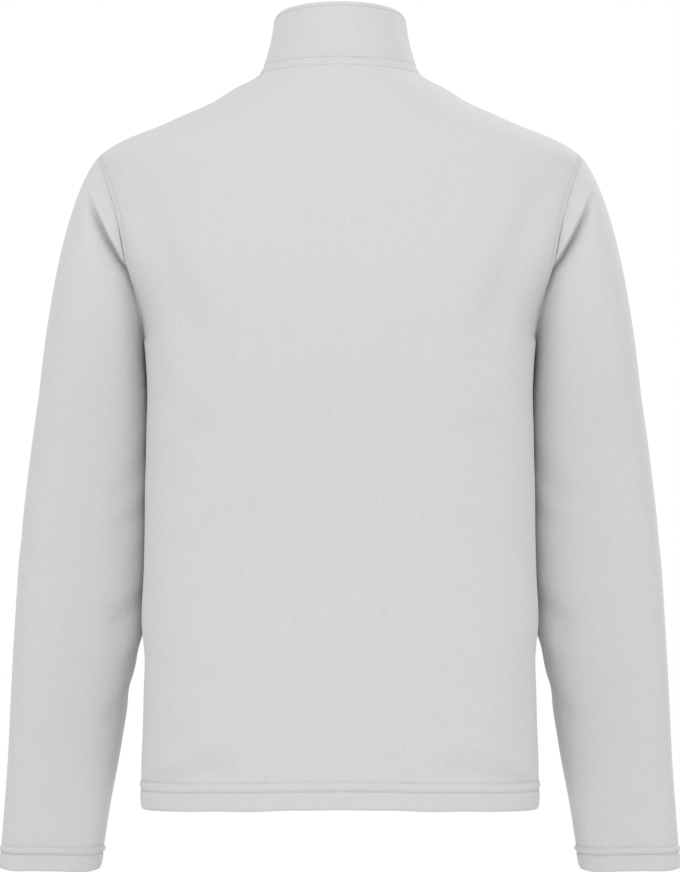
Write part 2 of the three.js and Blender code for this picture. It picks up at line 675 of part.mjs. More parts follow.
// One solid from several overlapping blocks.
async function joined(blocks) {
  const wasm = await Module();
  wasm.setup();
  const solids = blocks.map((geometry) => {
    const bare = geometry.deleteAttribute("normal").deleteAttribute("uv");
    const merged = mergeVertices(bare);
    return new wasm.Manifold(new wasm.Mesh({
      numProp: 3,
      vertProperties: merged.getAttribute("position").array,
      triVerts: new Uint32Array(merged.getIndex().array),
    }));
  });
  const mesh = solids.reduce((all, next) => all.add(next)).getMesh();
  const result = new THREE.BufferGeometry()
    .setAttribute("position", new THREE.BufferAttribute(mesh.vertProperties, 3))
    .setIndex(new THREE.BufferAttribute(mesh.triVerts, 1));
  result.computeVertexNormals();
  return result;
}

// Pull tab, hanging from its bar: the bar's middle is the origin.
function zipPull() {
  const { half, long, thick, eyeHalf, eye, bar, hole } = PULL;
  const shape = new THREE.Shape();
  shape.moveTo(-half, bar / 2);
  shape.lineTo(-half, half - long);
  shape.absarc(0, half - long, half, Math.PI, 2 * Math.PI, false);
  shape.lineTo(half, bar / 2);
  shape.closePath();
  const opening = new THREE.Path();
  opening.moveTo(-eyeHalf, -bar / 2);
  opening.lineTo(eyeHalf, -bar / 2);
  opening.lineTo(eyeHalf, -eye);
  opening.lineTo(-eyeHalf, -eye);
  opening.closePath();
  const end = new THREE.Path();
  end.absarc(0, half - long + 1, hole, 0, 2 * Math.PI, true);
  shape.holes.push(opening, end);
  return new THREE.ExtrudeGeometry(shape, { depth: thick, bevelEnabled: false, curveSegments: 8 })
    .translate(0, 0, -thick / 2)
    .rotateX(Math.PI / 2);
}

// Materials, each a plain colour and finish

const finish = (color, roughness, metalness) =>
  new THREE.MeshStandardMaterial({ color, roughness, metalness });
const fleeceCloth = () => finish(0xcfcfd0, 0.95, 0);
const zipCloth = () => finish(0xc4c4c6, 0.85, 0);
const zipNylon = () => finish(0xb9babd, 0.45, 0);
const zipMetal = () => finish(0xb4b6ba, 0.35, 0.9);

function piece(name, geometry, material) {
  const mesh = new THREE.Mesh(geometry, material);
  mesh.name = name;
  return mesh;
}

// A place on the zip's centre line, turned so that its own up runs along the zip.
function onZip(point, along) {
  const place = new THREE.Group();
  place.position.copy(point);
  place.rotation.x = Math.atan2(-along.y, along.z);
  return place;
}

const jacket = new THREE.Group();
jacket.add(piece("back", backPanel(), fleeceCloth()));
jacket.add(piece("front_left", frontPanel(1), fleeceCloth()));
jacket.add(piece("front_right", frontPanel(-1), fleeceCloth()));
jacket.add(piece("sleeve_left", sleeve(1), fleeceCloth()));
jacket.add(piece("sleeve_right", sleeve(-1), fleeceCloth()));
jacket.add(piece("collar", collar(), fleeceCloth()));
jacket.add(piece("zip_tape_left", zipTape(1), zipCloth()));
jacket.add(piece("zip_tape_right", zipTape(-1), zipCloth()));
jacket.add(piece("zip_chain", zipChain(), zipNylon()));

const boxPlace = onZip(hemPoint, new THREE.Vector3(0, 0, 1));
const boxBlock = block(ZIP_BOX.half, [-CHAIN_BACK, ZIP_BOX.proud], [0, ZIP_BOX.high]);
boxPlace.add(piece("zip_box", boxBlock, zipNylon()));
jacket.add(boxPlace);

const headPlace = onZip(sliderPoint, collarRise);
headPlace.add(piece("zip_slider", await zipSlider(), zipMetal()));
const pull = piece("zip_pull", zipPull(), zipMetal());
pull.position.y = -BAR_OUT;
headPlace.add(pull);
jacket.add(headPlace);

export default jacket;
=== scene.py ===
"""Fleece zip jacket, filled out as on a wearer and seen from behind. Sizes are in millimetres up to the point
where a mesh is made; +Z is up and the front, with the zip, is towards -Y."""
import math

import bpy
import numpy as np
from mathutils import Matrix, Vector


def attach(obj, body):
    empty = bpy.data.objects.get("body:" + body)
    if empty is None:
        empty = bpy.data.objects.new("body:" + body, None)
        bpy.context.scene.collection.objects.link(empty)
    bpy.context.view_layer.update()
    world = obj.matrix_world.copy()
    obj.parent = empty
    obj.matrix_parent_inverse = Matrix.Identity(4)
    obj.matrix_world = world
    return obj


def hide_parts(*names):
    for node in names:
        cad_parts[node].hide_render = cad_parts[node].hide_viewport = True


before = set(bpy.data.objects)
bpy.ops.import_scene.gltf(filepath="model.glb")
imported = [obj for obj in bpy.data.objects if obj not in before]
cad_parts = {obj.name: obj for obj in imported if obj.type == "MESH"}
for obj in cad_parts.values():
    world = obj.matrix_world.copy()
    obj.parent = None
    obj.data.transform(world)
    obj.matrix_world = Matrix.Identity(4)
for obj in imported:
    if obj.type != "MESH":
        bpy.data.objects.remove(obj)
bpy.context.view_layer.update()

MM = 0.001
BODY_NAME = "jacket"
PULL_BODY = "pull"
SHARP_FROM = 42.0  # degrees between faces

# Driving sizes, as in the frame
FLEECE = 2.4
COLLAR_CLOTH = 3.0
SEAM_GAP = 0.3
SEAM_SHOWN = 0.05
NECK_HALF = 73.0
NECK_SIDE = (-5.0, 9.0)
NECK_BACK = (62.0, 14.0)
NECK_FRONT = (-75.0, -60.0)
NECK_FRONT_FALL = 1.6
COLLAR_HALF = 63.0
COLLAR_BACK_RISE = 0.55
COLLAR_WAIST = 1.6
COLLAR_SIDE = (-22.0, 52.0)
COLLAR_BACK = (52.0, 67.0)
COLLAR_FRONT = (-73.0, -6.0)
SIDE_SEAM_Y = 20.0
ZIP_EDGE = 6.5
HEM = {"side": -691.0, "middle": -686.0, "raise": 0.8, "groove": 17.5, "band": 26.0, "ridge": 0.4}
CUFF = {"raise": 0.8, "groove": 16.0, "band": 23.0, "ridge": 1.2}
SHOULDER_TIP = (229.6, -2.0, -76.0)
ARMHOLE_MIDDLE = np.array((205.0, 2.0, -165.0))
SIDE_SEAM_TURN = 168.0  # turn round the armhole at which the side seam meets it
LEAST_RISE = 5.0
ARMHOLE_STEPS = 12
HEM_FADE = 200.0  # height over which the hem's curve levels out
HEM_WAVE_FADE = 70.0
# How the free form is drawn to the seams round it: widely for the smooth part, closely for the kinks
EDGE_PULL = 6
EDGE_CATCH = 34
TOP_PULL = 45.0
TOP_CATCH = 9.0
CALM_REACH = 20.0
RIM_CALM_REACH = 9.0
RIM_CALM_SPAN = 16.0
SQUARE = {"high": 1.9, "from": -250.0, "to": -70.0}

BACK_PROFILE = {
    "z": (-700, -600, -520, -430, -350, -230, -160, -80, -20, 14),
    "y": (126, 121, 116, 114, 119, 127, 124, 109, 84, 62),
}
FRONT_PROFILE = {
    "z": (-700, -560, -450, -330, -240, -180, -110, -60, -20, 14),
    "y": (-126, -122, -122, -127, -127, -118, -97, -75, -57, -44),
}
# Level sections of the body: height, half width, how far back the widest line lies
BODY_ROWS = (
    (-700, 186.6, 20), (-670, 187.6, 20), (-600, 185.7, 20), (-553, 184.8, 20), (-515, 187, 20),
    (-440, 184.6, 20), (-383, 183.7, 20), (-307, 182, 20), (-248, 184.8, 19), (-221, 194, 15),
    (-196, 206, 11), (-175, 216, 8), (-153, 222, 5), (-131, 225.5, 2), (-109, 228, 0),
    (-90, 229.6, -1), (-76, 229.6, -2), (-67, 218, -2), (-56, 196, -2.5), (-41, 159, -3),
    (-25.6, 125, -4), (-10.5, 100, -4.5), (-4, 86.5, -5), (1, 78.5, -5), (9, 73, -5), (14, 71, -5),
)
BODY = dict(zip(("z", "half", "middle"), zip(*BODY_ROWS)))
# Armhole seam: turn round the arm from the shoulder tip over the back, then x, y and z
ARMHOLE_ROWS = (
    (0, 229.6, -2, -76), (25, 225.5, 20, -88), (50, 217.7, 40, -109), (70, 211, 51, -131),
    (90, 206.3, 57, -153), (110, 201.5, 58, -175), (130, 195.5, 53, -196), (150, 189, 41, -221),
    (168, 184.5, 20, -248), (186, 182.2, -8, -262), (206, 184, -31, -250), (228, 189, -46, -226),
    (250, 196, -54, -196), (275, 204, -54, -163), (300, 212, -46, -133), (325, 220.5, -31, -105),
    (345, 227, -15, -85), (360, 229.6, -2, -76),
)
ARMHOLE = dict(zip(("turn", "x", "y", "z"), zip(*ARMHOLE_ROWS)))
# Level sections of the hanging sleeve: height, inner and outer edge, middle, depth
SLEEVE_ROWS = (
    (-757, 231, 326.4, -48, 52), (-745, 228.5, 326, -48, 54), (-700, 221.6, 322.4, -46, 62),
    (-650, 212.2, 318.6, -44, 70), (-605, 204.6, 316.2, -41, 78), (-559, 195.8, 313.6, -38, 86),
    (-527, 189, 311.6, -36.5, 90), (-490, 184.6, 309.1, -34, 94), (-444, 182.6, 305.8, -32, 100),
    (-398, 181, 300.2, -29, 107), (-350, 180.6, 293.9, -25, 116), (-300, 182, 286.2, -18, 126),
)
SLEEVE = dict(zip(("z", "inner", "outer", "middle", "depth"), zip(*SLEEVE_ROWS)))
SLEEVE_TOP = -300.0
SLEEVE_SQUARE = 3.0
UNDERARM_PUSH = 3.5
SLEEVE_AXIS_TOP = np.array((215.0, 0.0, -150.0))
SLEEVE_AXIS_FOOT = np.array((279.0, -46.0, -750.0))


# Small helpers

def mix(a, b, t):
    return a + (b - a) * t


def clamp(t):
    return np.clip(t, 0.0, 1.0)


def smooth(t):
    t = clamp(t)
    return t * t * (3 - 2 * t)


def read(table, key, column, at):
    """One column of a table at stations along its key, on a smooth curve through the rows."""
    keys = np.array(table[key], float)
    values = np.array(table[column], float)
    at = np.asarray(at, float)
    low = np.maximum(np.arange(len(keys)) - 1, 0)
    high = np.minimum(np.arange(len(keys)) + 1, len(keys) - 1)
    slopes = (values[high] - values[low]) / (keys[high] - keys[low])
    i = np.clip(np.searchsorted(keys, at, side="left") - 1, 0, len(keys) - 2)
    span = keys[i + 1] - keys[i]
    t = clamp((at - keys[i]) / span)
    t2, t3 = t * t, t * t * t
    return ((2 * t3 - 3 * t2 + 1) * values[i] + (t3 - 2 * t2 + t) * span * slopes[i]
            + (3 * t2 - 2 * t3) * values[i + 1] + (t3 - t2) * span * slopes[i + 1])


def unit(v):
    return v / np.maximum(np.linalg.norm(v, axis=-1, keepdims=True), 1e-12)


def mirrored(points):
    return points * np.array((-1.0, 1.0, 1.0))


# Soft folds, each from one place to another; depth is positive for a trough

def folds(*rows):
    return [dict(zip(("from", "to", "width", "depth"), row)) for row in rows]


BACK_FOLDS = folds(
    ((186, -116), (136, -238), 13, 3.0),
    ((200, -150), (158, -262), 10, -2.0),
    ((168, -106), (112, -226), 18, -1.2),
    ((184, -394), (134, -336), 13, 3.0),
    ((184, -344), (150, -288), 11, -2.0),
    ((168, -428), (112, -402), 14, -1.2),
    ((174, -652), (114, -622), 7, -2.4),
    ((172, -665), (108, -648), 8.5, 3.0),
    ((176, -632), (146, -618), 8, 1.3),
    ((170, -598), (96, -560), 15, 1.2),
    ((182, -520), (120, -500), 20, 1.1),
    ((40, -70), (96, -120), 26, 1.0),
    ((22, -236), (30, -420), 9, -0.8),
    ((50, -250), (62, -398), 10, 1.0),
    ((80, -310), (70, -446), 9, -0.8),
    ((84, -500), (66, -612), 13, 0.8),
)
FRONT_FOLDS = folds(
    ((180, -140), (120, -250), 14, 4.2),
    ((194, -170), (150, -276), 11, -2.4),
    ((152, -128), (96, -216), 15, -1.6),
    ((184, -384), (126, -352), 13, 3.4),
    ((182, -418), (140, -398), 10, -2.0),
    ((176, -656), (100, -624), 11, 3.2),
    ((172, -634), (118, -608), 8, -2.0),
    ((60, -150), (92, -250), 22, 1.5),
    ((22, -300), (34, -460), 12, 1.1),
    ((120, -540), (46, -580), 18, 1.8),
)
# Line where the sleeve's cloth is tucked under at the armpit: place and depth at each point
CREASE_ROWS = (
    (239, -111, 1), (235, -120, 8), (230, -131, 12), (218, -156, 15), (206, -176, 16), (197.5, -187, 15),
    (189, -211, 12), (184.5, -230, 9), (181, -248, 5), (180, -262, 0),
)
CREASE = {"near": 3.6, "soft": 11.0, "near_share": 0.5, "sharp": 1.7, "front_share": 0.8, "tuck": 3.6,
          "tuck_from": -168.0, "tuck_fade": 22, "under": 2.6, "under_reach": 3.5, "seam_reach": 1.1}


def crease_depth(x, z):
    """Depth of the tuck: soft below its line, crisp above it."""
    rows = np.array(CREASE_ROWS, float)
    best = np.full(np.shape(x), 1e9)
    signed, depth = np.zeros(np.shape(x)), np.zeros(np.shape(x))
    for (x0, z0, d0), (x1, z1, d1) in zip(rows[:-1], rows[1:]):
        dx, dz = x1 - x0, z1 - z0
        length = math.hypot(dx, dz)
        t = clamp(((x - x0) * dx + (z - z0) * dz) / length ** 2)
        apart = np.hypot(x - x0 - t * dx, z - z0 - t * dz)
        side = ((z - z0) * dx - (x - x0) * dz) / length
        nearer = apart < best
        best = np.where(nearer, apart, best)
        signed = np.where(nearer, np.sign(side) * apart, signed)
        depth = np.where(nearer, mix(d0, d1, t), depth)
    soft, near, sharp = (np.exp(-(signed / CREASE[key]) ** 2) for key in ("soft", "near", "sharp"))
    return depth * np.where(signed > 0, mix(soft, near, CREASE["near_share"]), sharp)


def fold_share(fold, x, z):
    """How much of a fold is felt at places: 1 on its line, fading across its width and past its ends."""
    (x0, z0), (x1, z1) = fold["from"], fold["to"]
    dx, dz = x1 - x0, z1 - z0
    length = math.hypot(dx, dz)
    along = ((x - x0) * dx + (z - z0) * dz) / length ** 2
    across = ((x - x0) * dz - (z - z0) * dx) / length
    ends = np.maximum(0, np.maximum(-along, along - 1)) * length
    return np.exp(-(across / fold["width"]) ** 2 - (ends / fold["width"]) ** 2)


# Forms of the body, the neck opening and the armhole

def neck_seam(turn, end, front):
    """Points of the neck seam: 0 degrees is at the shoulder seam, 90 at the centre."""
    across = np.cos(np.radians(turn))
    towards = np.sin(np.radians(turn))
    fall = towards ** NECK_FRONT_FALL if front else towards
    y, z = mix(NECK_SIDE[0], end[0], towards), mix(NECK_SIDE[1], end[1], fall)
    return np.stack([NECK_HALF * across, y, z], -1)


BACK = {"end": NECK_BACK, "profile": BACK_PROFILE, "square": 2.8, "first": 0.0, "front": False,
        "sign": 1.0, "folds": BACK_FOLDS}
FRONT = {"end": NECK_FRONT, "profile": FRONT_PROFILE, "square": 2.2, "first": ZIP_EDGE, "front": True,
         "sign": -1.0, "folds": FRONT_FOLDS}


def shoulder_height(x):
    """Height of the shoulder seam at distances from the centre line."""
    low = np.full(np.shape(x), SHOULDER_TIP[2])
    high = np.full(np.shape(x), NECK_SIDE[1])
    for _ in range(30):
        middle = (low + high) / 2
        outside = read(BODY, "z", "half", middle) > x
        low = np.where(outside, middle, low)
        high = np.where(outside, high, middle)
    return low


def column_top(side, x):
    """Tops of columns: on the neck seam, or on the shoulder seam further out."""
    turn = np.degrees(np.arccos(clamp(x / NECK_HALF)))
    neck = neck_seam(turn, side["end"], side["front"])
    z = shoulder_height(x)
    shoulder = np.stack([x, read(BODY, "z", "middle", z), z], -1)
    return np.where((x <= NECK_HALF)[..., None], neck, shoulder)


def armhole(turn):
    return np.stack([read(ARMHOLE, "turn", column, turn) for column in "xyz"], -1)


def form_depth(side, x, z):
    """Depth of the body's free form, folds included, at places seen from behind or in front."""
    up_shoulder = smooth((z - SQUARE["from"]) / (SQUARE["to"] - SQUARE["from"]))
    square = mix(side["square"], SQUARE["high"], up_shoulder)
    middle = read(BODY, "z", "middle", z)
    share = np.minimum(1, x / read(BODY, "z", "half", z))
    bulge = (1 - share ** square) ** (1 / square)
    depth = mix(middle, read(side["profile"], "z", "y", z), bulge)
    sunk = sum(fold["depth"] * fold_share(fold, x, z) for fold in side["folds"])
    return depth - side["sign"] * sunk * clamp(4 * bulge - 1)


def panel_rows(side, heights, turns):
    """Rows from hem to shoulder: height, distance up from the hem, rise above the armpit and edge point."""
    top = float(armhole(SIDE_SEAM_TURN)[2])
    far = 360.0 if side["front"] else 0.0
    cad_turns = np.linspace(SIDE_SEAM_TURN, far, ARMHOLE_STEPS + 1)
    cad_z = armhole(cad_turns)[:, 2]
    cad_z[0] = top
    for step in range(1, len(cad_z)):
        cad_z[step] = max(cad_z[step], cad_z[step - 1] + LEAST_RISE)
    share = turns * ARMHOLE_STEPS
    arm_z = read({"step": np.arange(ARMHOLE_STEPS + 1), "z": cad_z}, "step", "z", share)
    arm_edge = armhole(mix(SIDE_SEAM_TURN, far, turns))
    low_edge = np.stack([read(BODY, "z", "half", heights), np.full(len(heights), SIDE_SEAM_Y), heights], -1)
    z = np.concatenate([heights, arm_z])
    rise = np.concatenate([np.zeros(len(heights)), (arm_z - top) / (SHOULDER_TIP[2] - top)])
    return {"z": z, "up": z - HEM["side"], "rise": rise, "edge": np.concatenate([low_edge, arm_edge]),
            "turn": np.concatenate([np.full(len(heights), np.nan), mix(SIDE_SEAM_TURN, far, turns)])}


def hem_wave(x):
    """Slight unevenness of a sewn hem."""
    return 0.45 * np.sin(x / 21 + 0.7) + 0.3 * np.sin(x / 9.3 + 2.0)


def body_points(side, x, rows):
    """Outer points of a panel at x (rows by columns): the free form, drawn to the seams round it."""
    edge = rows["edge"][:, None, :]
    z_row = rows["z"][:, None]
    share = x / edge[..., 0]
    top = column_top(side, share * SHOULDER_TIP[0])
    hem = (HEM["middle"] - HEM["side"]) * (1 - share ** 2) * clamp(1 - rows["up"][:, None] / HEM_FADE)
    z = z_row + hem + rows["rise"][:, None] * (top[..., 2] - SHOULDER_TIP[2])
    z = z + hem_wave(x) * (1 - share ** 2) * clamp(1 - rows["up"][:, None] / HEM_WAVE_FADE) ** 2
    top_miss = top[..., 1] - form_depth(side, share * SHOULDER_TIP[0], top[..., 2])
    calm_top = calmed(top_miss[-1][:, None], share[-1] * SHOULDER_TIP[0])[:, 0]
    below_top = top[..., 2] - z
    y = form_depth(side, x, z) + clamp(1 - below_top / TOP_PULL) ** 2 * calm_top
    y = y + clamp(1 - below_top / TOP_CATCH) ** 2 * (top_miss - calm_top)
    points = np.stack([x, y, z], -1)
    free_y = form_depth(side, edge[..., 0], z_row)
    free_edge = np.stack([edge[..., 0], free_y, z_row], -1)
    miss = edge - free_edge
    calm = calmed(miss[:, 0], rows["z"])[:, None]
    return points + calm * (share ** EDGE_PULL)[..., None] + (miss - calm) * (share ** EDGE_CATCH)[..., None]


def calmed(values, at, reach=CALM_REACH):
    """The same values with their kinks along a line smoothed out."""
    weight = np.exp(-((at[:, None] - at[None, :]) / reach) ** 2) * np.gradient(at)[None, :]
    return weight @ values / weight.sum(1, keepdims=True)


def armhole_tangent(turn):
    return armhole((turn + 2) % 360) - armhole((turn + 358) % 360)


def seam_direction(turn):
    """Common direction across both cloths along the armhole seam."""
    tangent = unit(armhole_tangent(turn))
    direction = unit(armhole(turn) - ARMHOLE_MIDDLE) + np.array((0.7, 0.0, 0.0))
    direction = direction - tangent * np.sum(direction * tangent, -1, keepdims=True)
    return unit(direction)


def at_seam(own, turn):
    """Near the shoulder both cloths share the seam's direction; near the armpit each keeps its own."""
    share = ((1 - np.cos(np.radians(turn))) / 2)[..., None]
    return unit(seam_direction(turn) * (1 - share) + own * share)


# Grids and walls

def spans(rows):
    """Step across each row: between its neighbours, or to the one neighbour at the ends."""
    return np.concatenate([rows[1:2] - rows[:1], rows[2:] - rows[:-2], rows[-1:] - rows[-2:-1]], 0)


def outward(grid, ring, middle):
    """Direction across the cloth at each point of a grid, pointing away from the middles."""
    along = np.roll(grid, -1, 1) - np.roll(grid, 1, 1) if ring else spans(grid.swapaxes(0, 1)).swapaxes(0, 1)
    up = spans(grid)
    normal = unit(np.cross(along, up))
    facing = np.sum(normal * (grid - middle(grid)), -1, keepdims=True)
    return np.where(facing < 0, -normal, normal)


def add_object(name, data):
    added = bpy.data.objects.new(name, data)
    bpy.context.scene.collection.objects.link(added)
    return added


def make_mesh(name, points, faces, material, smooth_faces=True):
    mesh = bpy.data.meshes.new(name)
    mesh.from_pydata((points * MM).tolist(), [], [tuple(int(i) for i in face) for face in faces])
    mesh.validate()
    mesh.update()
    piece = add_object(name, mesh)
    mesh.materials.append(material)
    if smooth_faces:
        mesh.shade_smooth()
        mesh.set_sharp_from_angle(angle=math.radians(SHARP_FROM))
    return piece


def wall_arrays(outer, inner, ring):
    """Points and faces of a closed thin wall between two grids of the same size."""
    rows, columns = outer.shape[:2]
    across = columns if ring else columns - 1
    points = np.concatenate([outer.reshape(-1, 3), inner.reshape(-1, 3)])

    def at(layer, r, c):
        return (layer * rows + r) * columns + (c % columns)

    r, c = np.meshgrid(np.arange(rows - 1), np.arange(across), indexing="ij")
    r, c = r.ravel(), c.ravel()
    quads = [
        (at(0, r, c), at(0, r, c + 1), at(0, r + 1, c + 1), at(0, r + 1, c)),
        (at(1, r, c), at(1, r + 1, c), at(1, r + 1, c + 1), at(1, r, c + 1)),
    ]
    c = np.arange(across)
    last = np.full(across, rows - 1)
    quads.append((at(0, 0 * c, c), at(1, 0 * c, c), at(1, 0 * c, c + 1), at(0, 0 * c, c + 1)))
    quads.append((at(0, last, c), at(0, last, c + 1), at(1, last, c + 1), at(1, last, c)))
    if not ring:
        r = np.arange(rows - 1)
        end = np.full(rows - 1, columns - 1)
        quads.append((at(0, r, 0 * r), at(0, r + 1, 0 * r), at(1, r + 1, 0 * r), at(1, r, 0 * r)))
        quads.append((at(0, r, end), at(1, r, end), at(1, r + 1, end), at(0, r + 1, end)))
    faces = np.concatenate([np.stack(quad, -1) for quad in quads])
    corners = points[faces]
    volume = np.sum(corners[:, 0] * np.cross(corners[:, 1], corners[:, 2])) + np.sum(
        corners[:, 0] * np.cross(corners[:, 2], corners[:, 3]))
    return points, faces if volume > 0 else faces[:, ::-1]


def rolled(distance, depth=0.7, reach=1.6):
    """How far cloth is drawn in at a distance from its edge or seam."""
    return depth * np.exp(-(distance / reach) ** 2)


def stitch_groove(distance, at, depth=0.5, half=1.5):
    return depth * np.exp(-((distance - at) / half) ** 2)


def turned_edge(up, edge):
    """Raised turned hem: how far the cloth stands out at heights above the edge."""
    doubled = edge["raise"] * (1 - smooth((up - edge["band"] + 1.5) / 3)) * mix(0.55, 1.0, smooth(up / 3))
    stitched = stitch_groove(up, edge["groove"], edge["raise"] * 1.5, 1.2)
    turned_in = stitch_groove(up, edge["band"], 1.1, 1.0)
    ridge = stitch_groove(up, mix(edge["groove"], edge["band"], 0.55), edge["ridge"], 2.4)
    return doubled - (stitched + turned_in) + ridge


def along_rows(grid, from_end):
    """Distance along each row from one of its ends."""
    steps = np.linalg.norm(np.diff(grid, axis=1), axis=-1)
    run = np.concatenate([np.zeros((len(grid), 1)), np.cumsum(steps, 1)], 1)
    return run[:, -1:] - run if from_end else run


def along_columns(grid, from_end):
    """Distance along each column from one of its ends."""
    return along_rows(np.swapaxes(grid, 0, 1), from_end).T


def distance_to(grid, curve):
    """Distance of each point of a grid from a curve."""
    flat = grid.reshape(-1, 3)
    apart = np.linalg.norm(flat[:, None] - curve[None], axis=-1).min(1)
    return apart.reshape(grid.shape[:2])


def line_at(grid, directions, distance, at):
    """Where each row of a grid is at a given distance, with its direction."""
    points, out = [], []
    for row, way, run in zip(grid, directions, distance):
        order = np.argsort(run)
        if run.max() < at:
            continue
        points.append([np.interp(at, run[order], row[order, axis]) for axis in range(3)])
        out.append([np.interp(at, run[order], way[order, axis]) for axis in range(3)])
    return np.array(points), unit(np.array(out))


# Materials

def principled(name, color, roughness, metallic=0.0):
    material = bpy.data.materials.new(name)
    material.use_nodes = True
    shader = material.node_tree.nodes["Principled BSDF"]
    shader.inputs["Base Color"].default_value = (*color, 1)
    shader.inputs["Roughness"].default_value = roughness
    shader.inputs["Metallic"].default_value = metallic
    return material, shader


def add_texture(material, shader, kind, scale, strength, distance, mottling, color, settings=()):
    """Bump and a faint mottling from one procedural texture in the piece's own coordinates."""
    nodes, links = material.node_tree.nodes, material.node_tree.links
    place = nodes.new("ShaderNodeTexCoord")
    texture = nodes.new(kind)
    texture.inputs["Scale"].default_value = scale
    for key, value in settings:
        texture.inputs[key].default_value = value
    links.new(place.outputs["Object"], texture.inputs["Vector"])
    height = texture.outputs["Fac"] if "Fac" in texture.outputs else texture.outputs["Distance"]
    bump = nodes.new("ShaderNodeBump")
    bump.inputs["Strength"].default_value = strength
    bump.inputs["Distance"].default_value = distance
    links.new(height, bump.inputs["Height"])
    links.new(bump.outputs["Normal"], shader.inputs["Normal"])
    ramp = nodes.new("ShaderNodeMapRange")
    ramp.inputs["From Min"].default_value = 0.25
    ramp.inputs["From Max"].default_value = 0.75
    links.new(height, ramp.inputs["Value"])
    mixer = nodes.new("ShaderNodeMix")
    mixer.data_type = "RGBA"
    mixer.inputs["A"].default_value = (*[c * (1 - mottling) for c in color], 1)
    mixer.inputs["B"].default_value = (*[c * (1 + mottling) for c in color], 1)
    links.new(ramp.outputs["Result"], mixer.inputs["Factor"])
    links.new(mixer.outputs["Result"], shader.inputs["Base Color"])


FLEECE_COLOR = (0.5, 0.5, 0.505)
TAPE_COLOR = (0.42, 0.42, 0.43)


def fleece_material(name):
    material, shader = principled(name, FLEECE_COLOR, 0.95)
    shader.inputs["Sheen Weight"].default_value = 0.25
    shader.inputs["Sheen Roughness"].default_value = 0.6
    shader.inputs["Specular IOR Level"].default_value = 0.15
    add_texture(material, shader, "ShaderNodeTexNoise", 300, 0.35, 0.0011, 0.032, FLEECE_COLOR,
                (("Detail", 3.0), ("Roughness", 0.6)))
    return material


fleece = fleece_material("fleece")
collar_fleece = fleece_material("collar fleece")
tape_cloth, tape_shader = principled("woven tape", TAPE_COLOR, 0.85)
add_texture(tape_cloth, tape_shader, "ShaderNodeTexVoronoi", 1400, 0.4, 0.0003, 0.06, TAPE_COLOR)
nylon, _ = principled("satin nylon", (0.4, 0.4, 0.42), 0.38)
metal, _ = principled("satin metal", (0.6, 0.61, 0.63), 0.32, 1.0)
thread, _ = principled("sewing thread", (0.47, 0.47, 0.475), 0.7)


# Body panels

def hem_rows():
    fine = [0, 0.4, 1, 2, 3.5, 5.5, 8, 10.5, 13, 14.5, 15.5, 16.2, 16.9, 17.5, 18.1, 18.8, 19.5, 20.5, 22,
            23.5, 24.5, 25.3, 26, 26.7, 27.5, 29, 31, 34, 38]
    return HEM["side"] + np.array(fine)


def panel_shares():
    neck = NECK_HALF * np.cos(np.radians(np.arange(90, 0, -4.0)))
    neck[0] = 0
    shoulder = mix(NECK_HALF, SHOULDER_TIP[0] - 15, np.linspace(0, 1, 34))
    from_edge = np.array([13.2, 11.6, 10.2, 9.2, 8.5, 7.9, 7.35, 6.8, 6.2, 5.6, 4.9, 4.1, 3.3, 2.5, 1.8,
                          1.2, 0.6, 0.25, 0])
    return np.concatenate([neck, shoulder, SHOULDER_TIP[0] - from_edge]) / SHOULDER_TIP[0]


def panel_x(side, share, edge_x):
    offset = side["first"] / SHOULDER_TIP[0]
    if side["first"] == 0:
        return share[None, :] * edge_x[:, None]
    inside = (np.maximum(share, offset) - offset) / (1 - offset)
    return side["first"] + (edge_x[:, None] - side["first"]) * inside[None, :]


def relief(grid, seed):
    """Faint unevenness of soft cloth, a fraction of a millimetre."""
    x, z = grid[..., 0], grid[..., 2]
    return 0.36 * (np.sin(x / 17 + z / 31 + 2.1 * seed) * np.sin(z / 23 - x / 47 + seed)
                   + 0.7 * np.sin(x / 9.5 - z / 41 + 4 * seed) * np.sin(z / 13 + x / 29))


def body_middle(grid):
    return np.stack([0 * grid[..., 0], 0 * grid[..., 1], grid[..., 2] - 20], -1)


SIDE_SEAM_SHOWN = 6.0  # from the panel's edge, at the back
NECK_STITCH = 8.6
ARMHOLE_STITCH = 5.7
ZIP_STITCH = 6.0
COLLAR_STITCH = 4.0


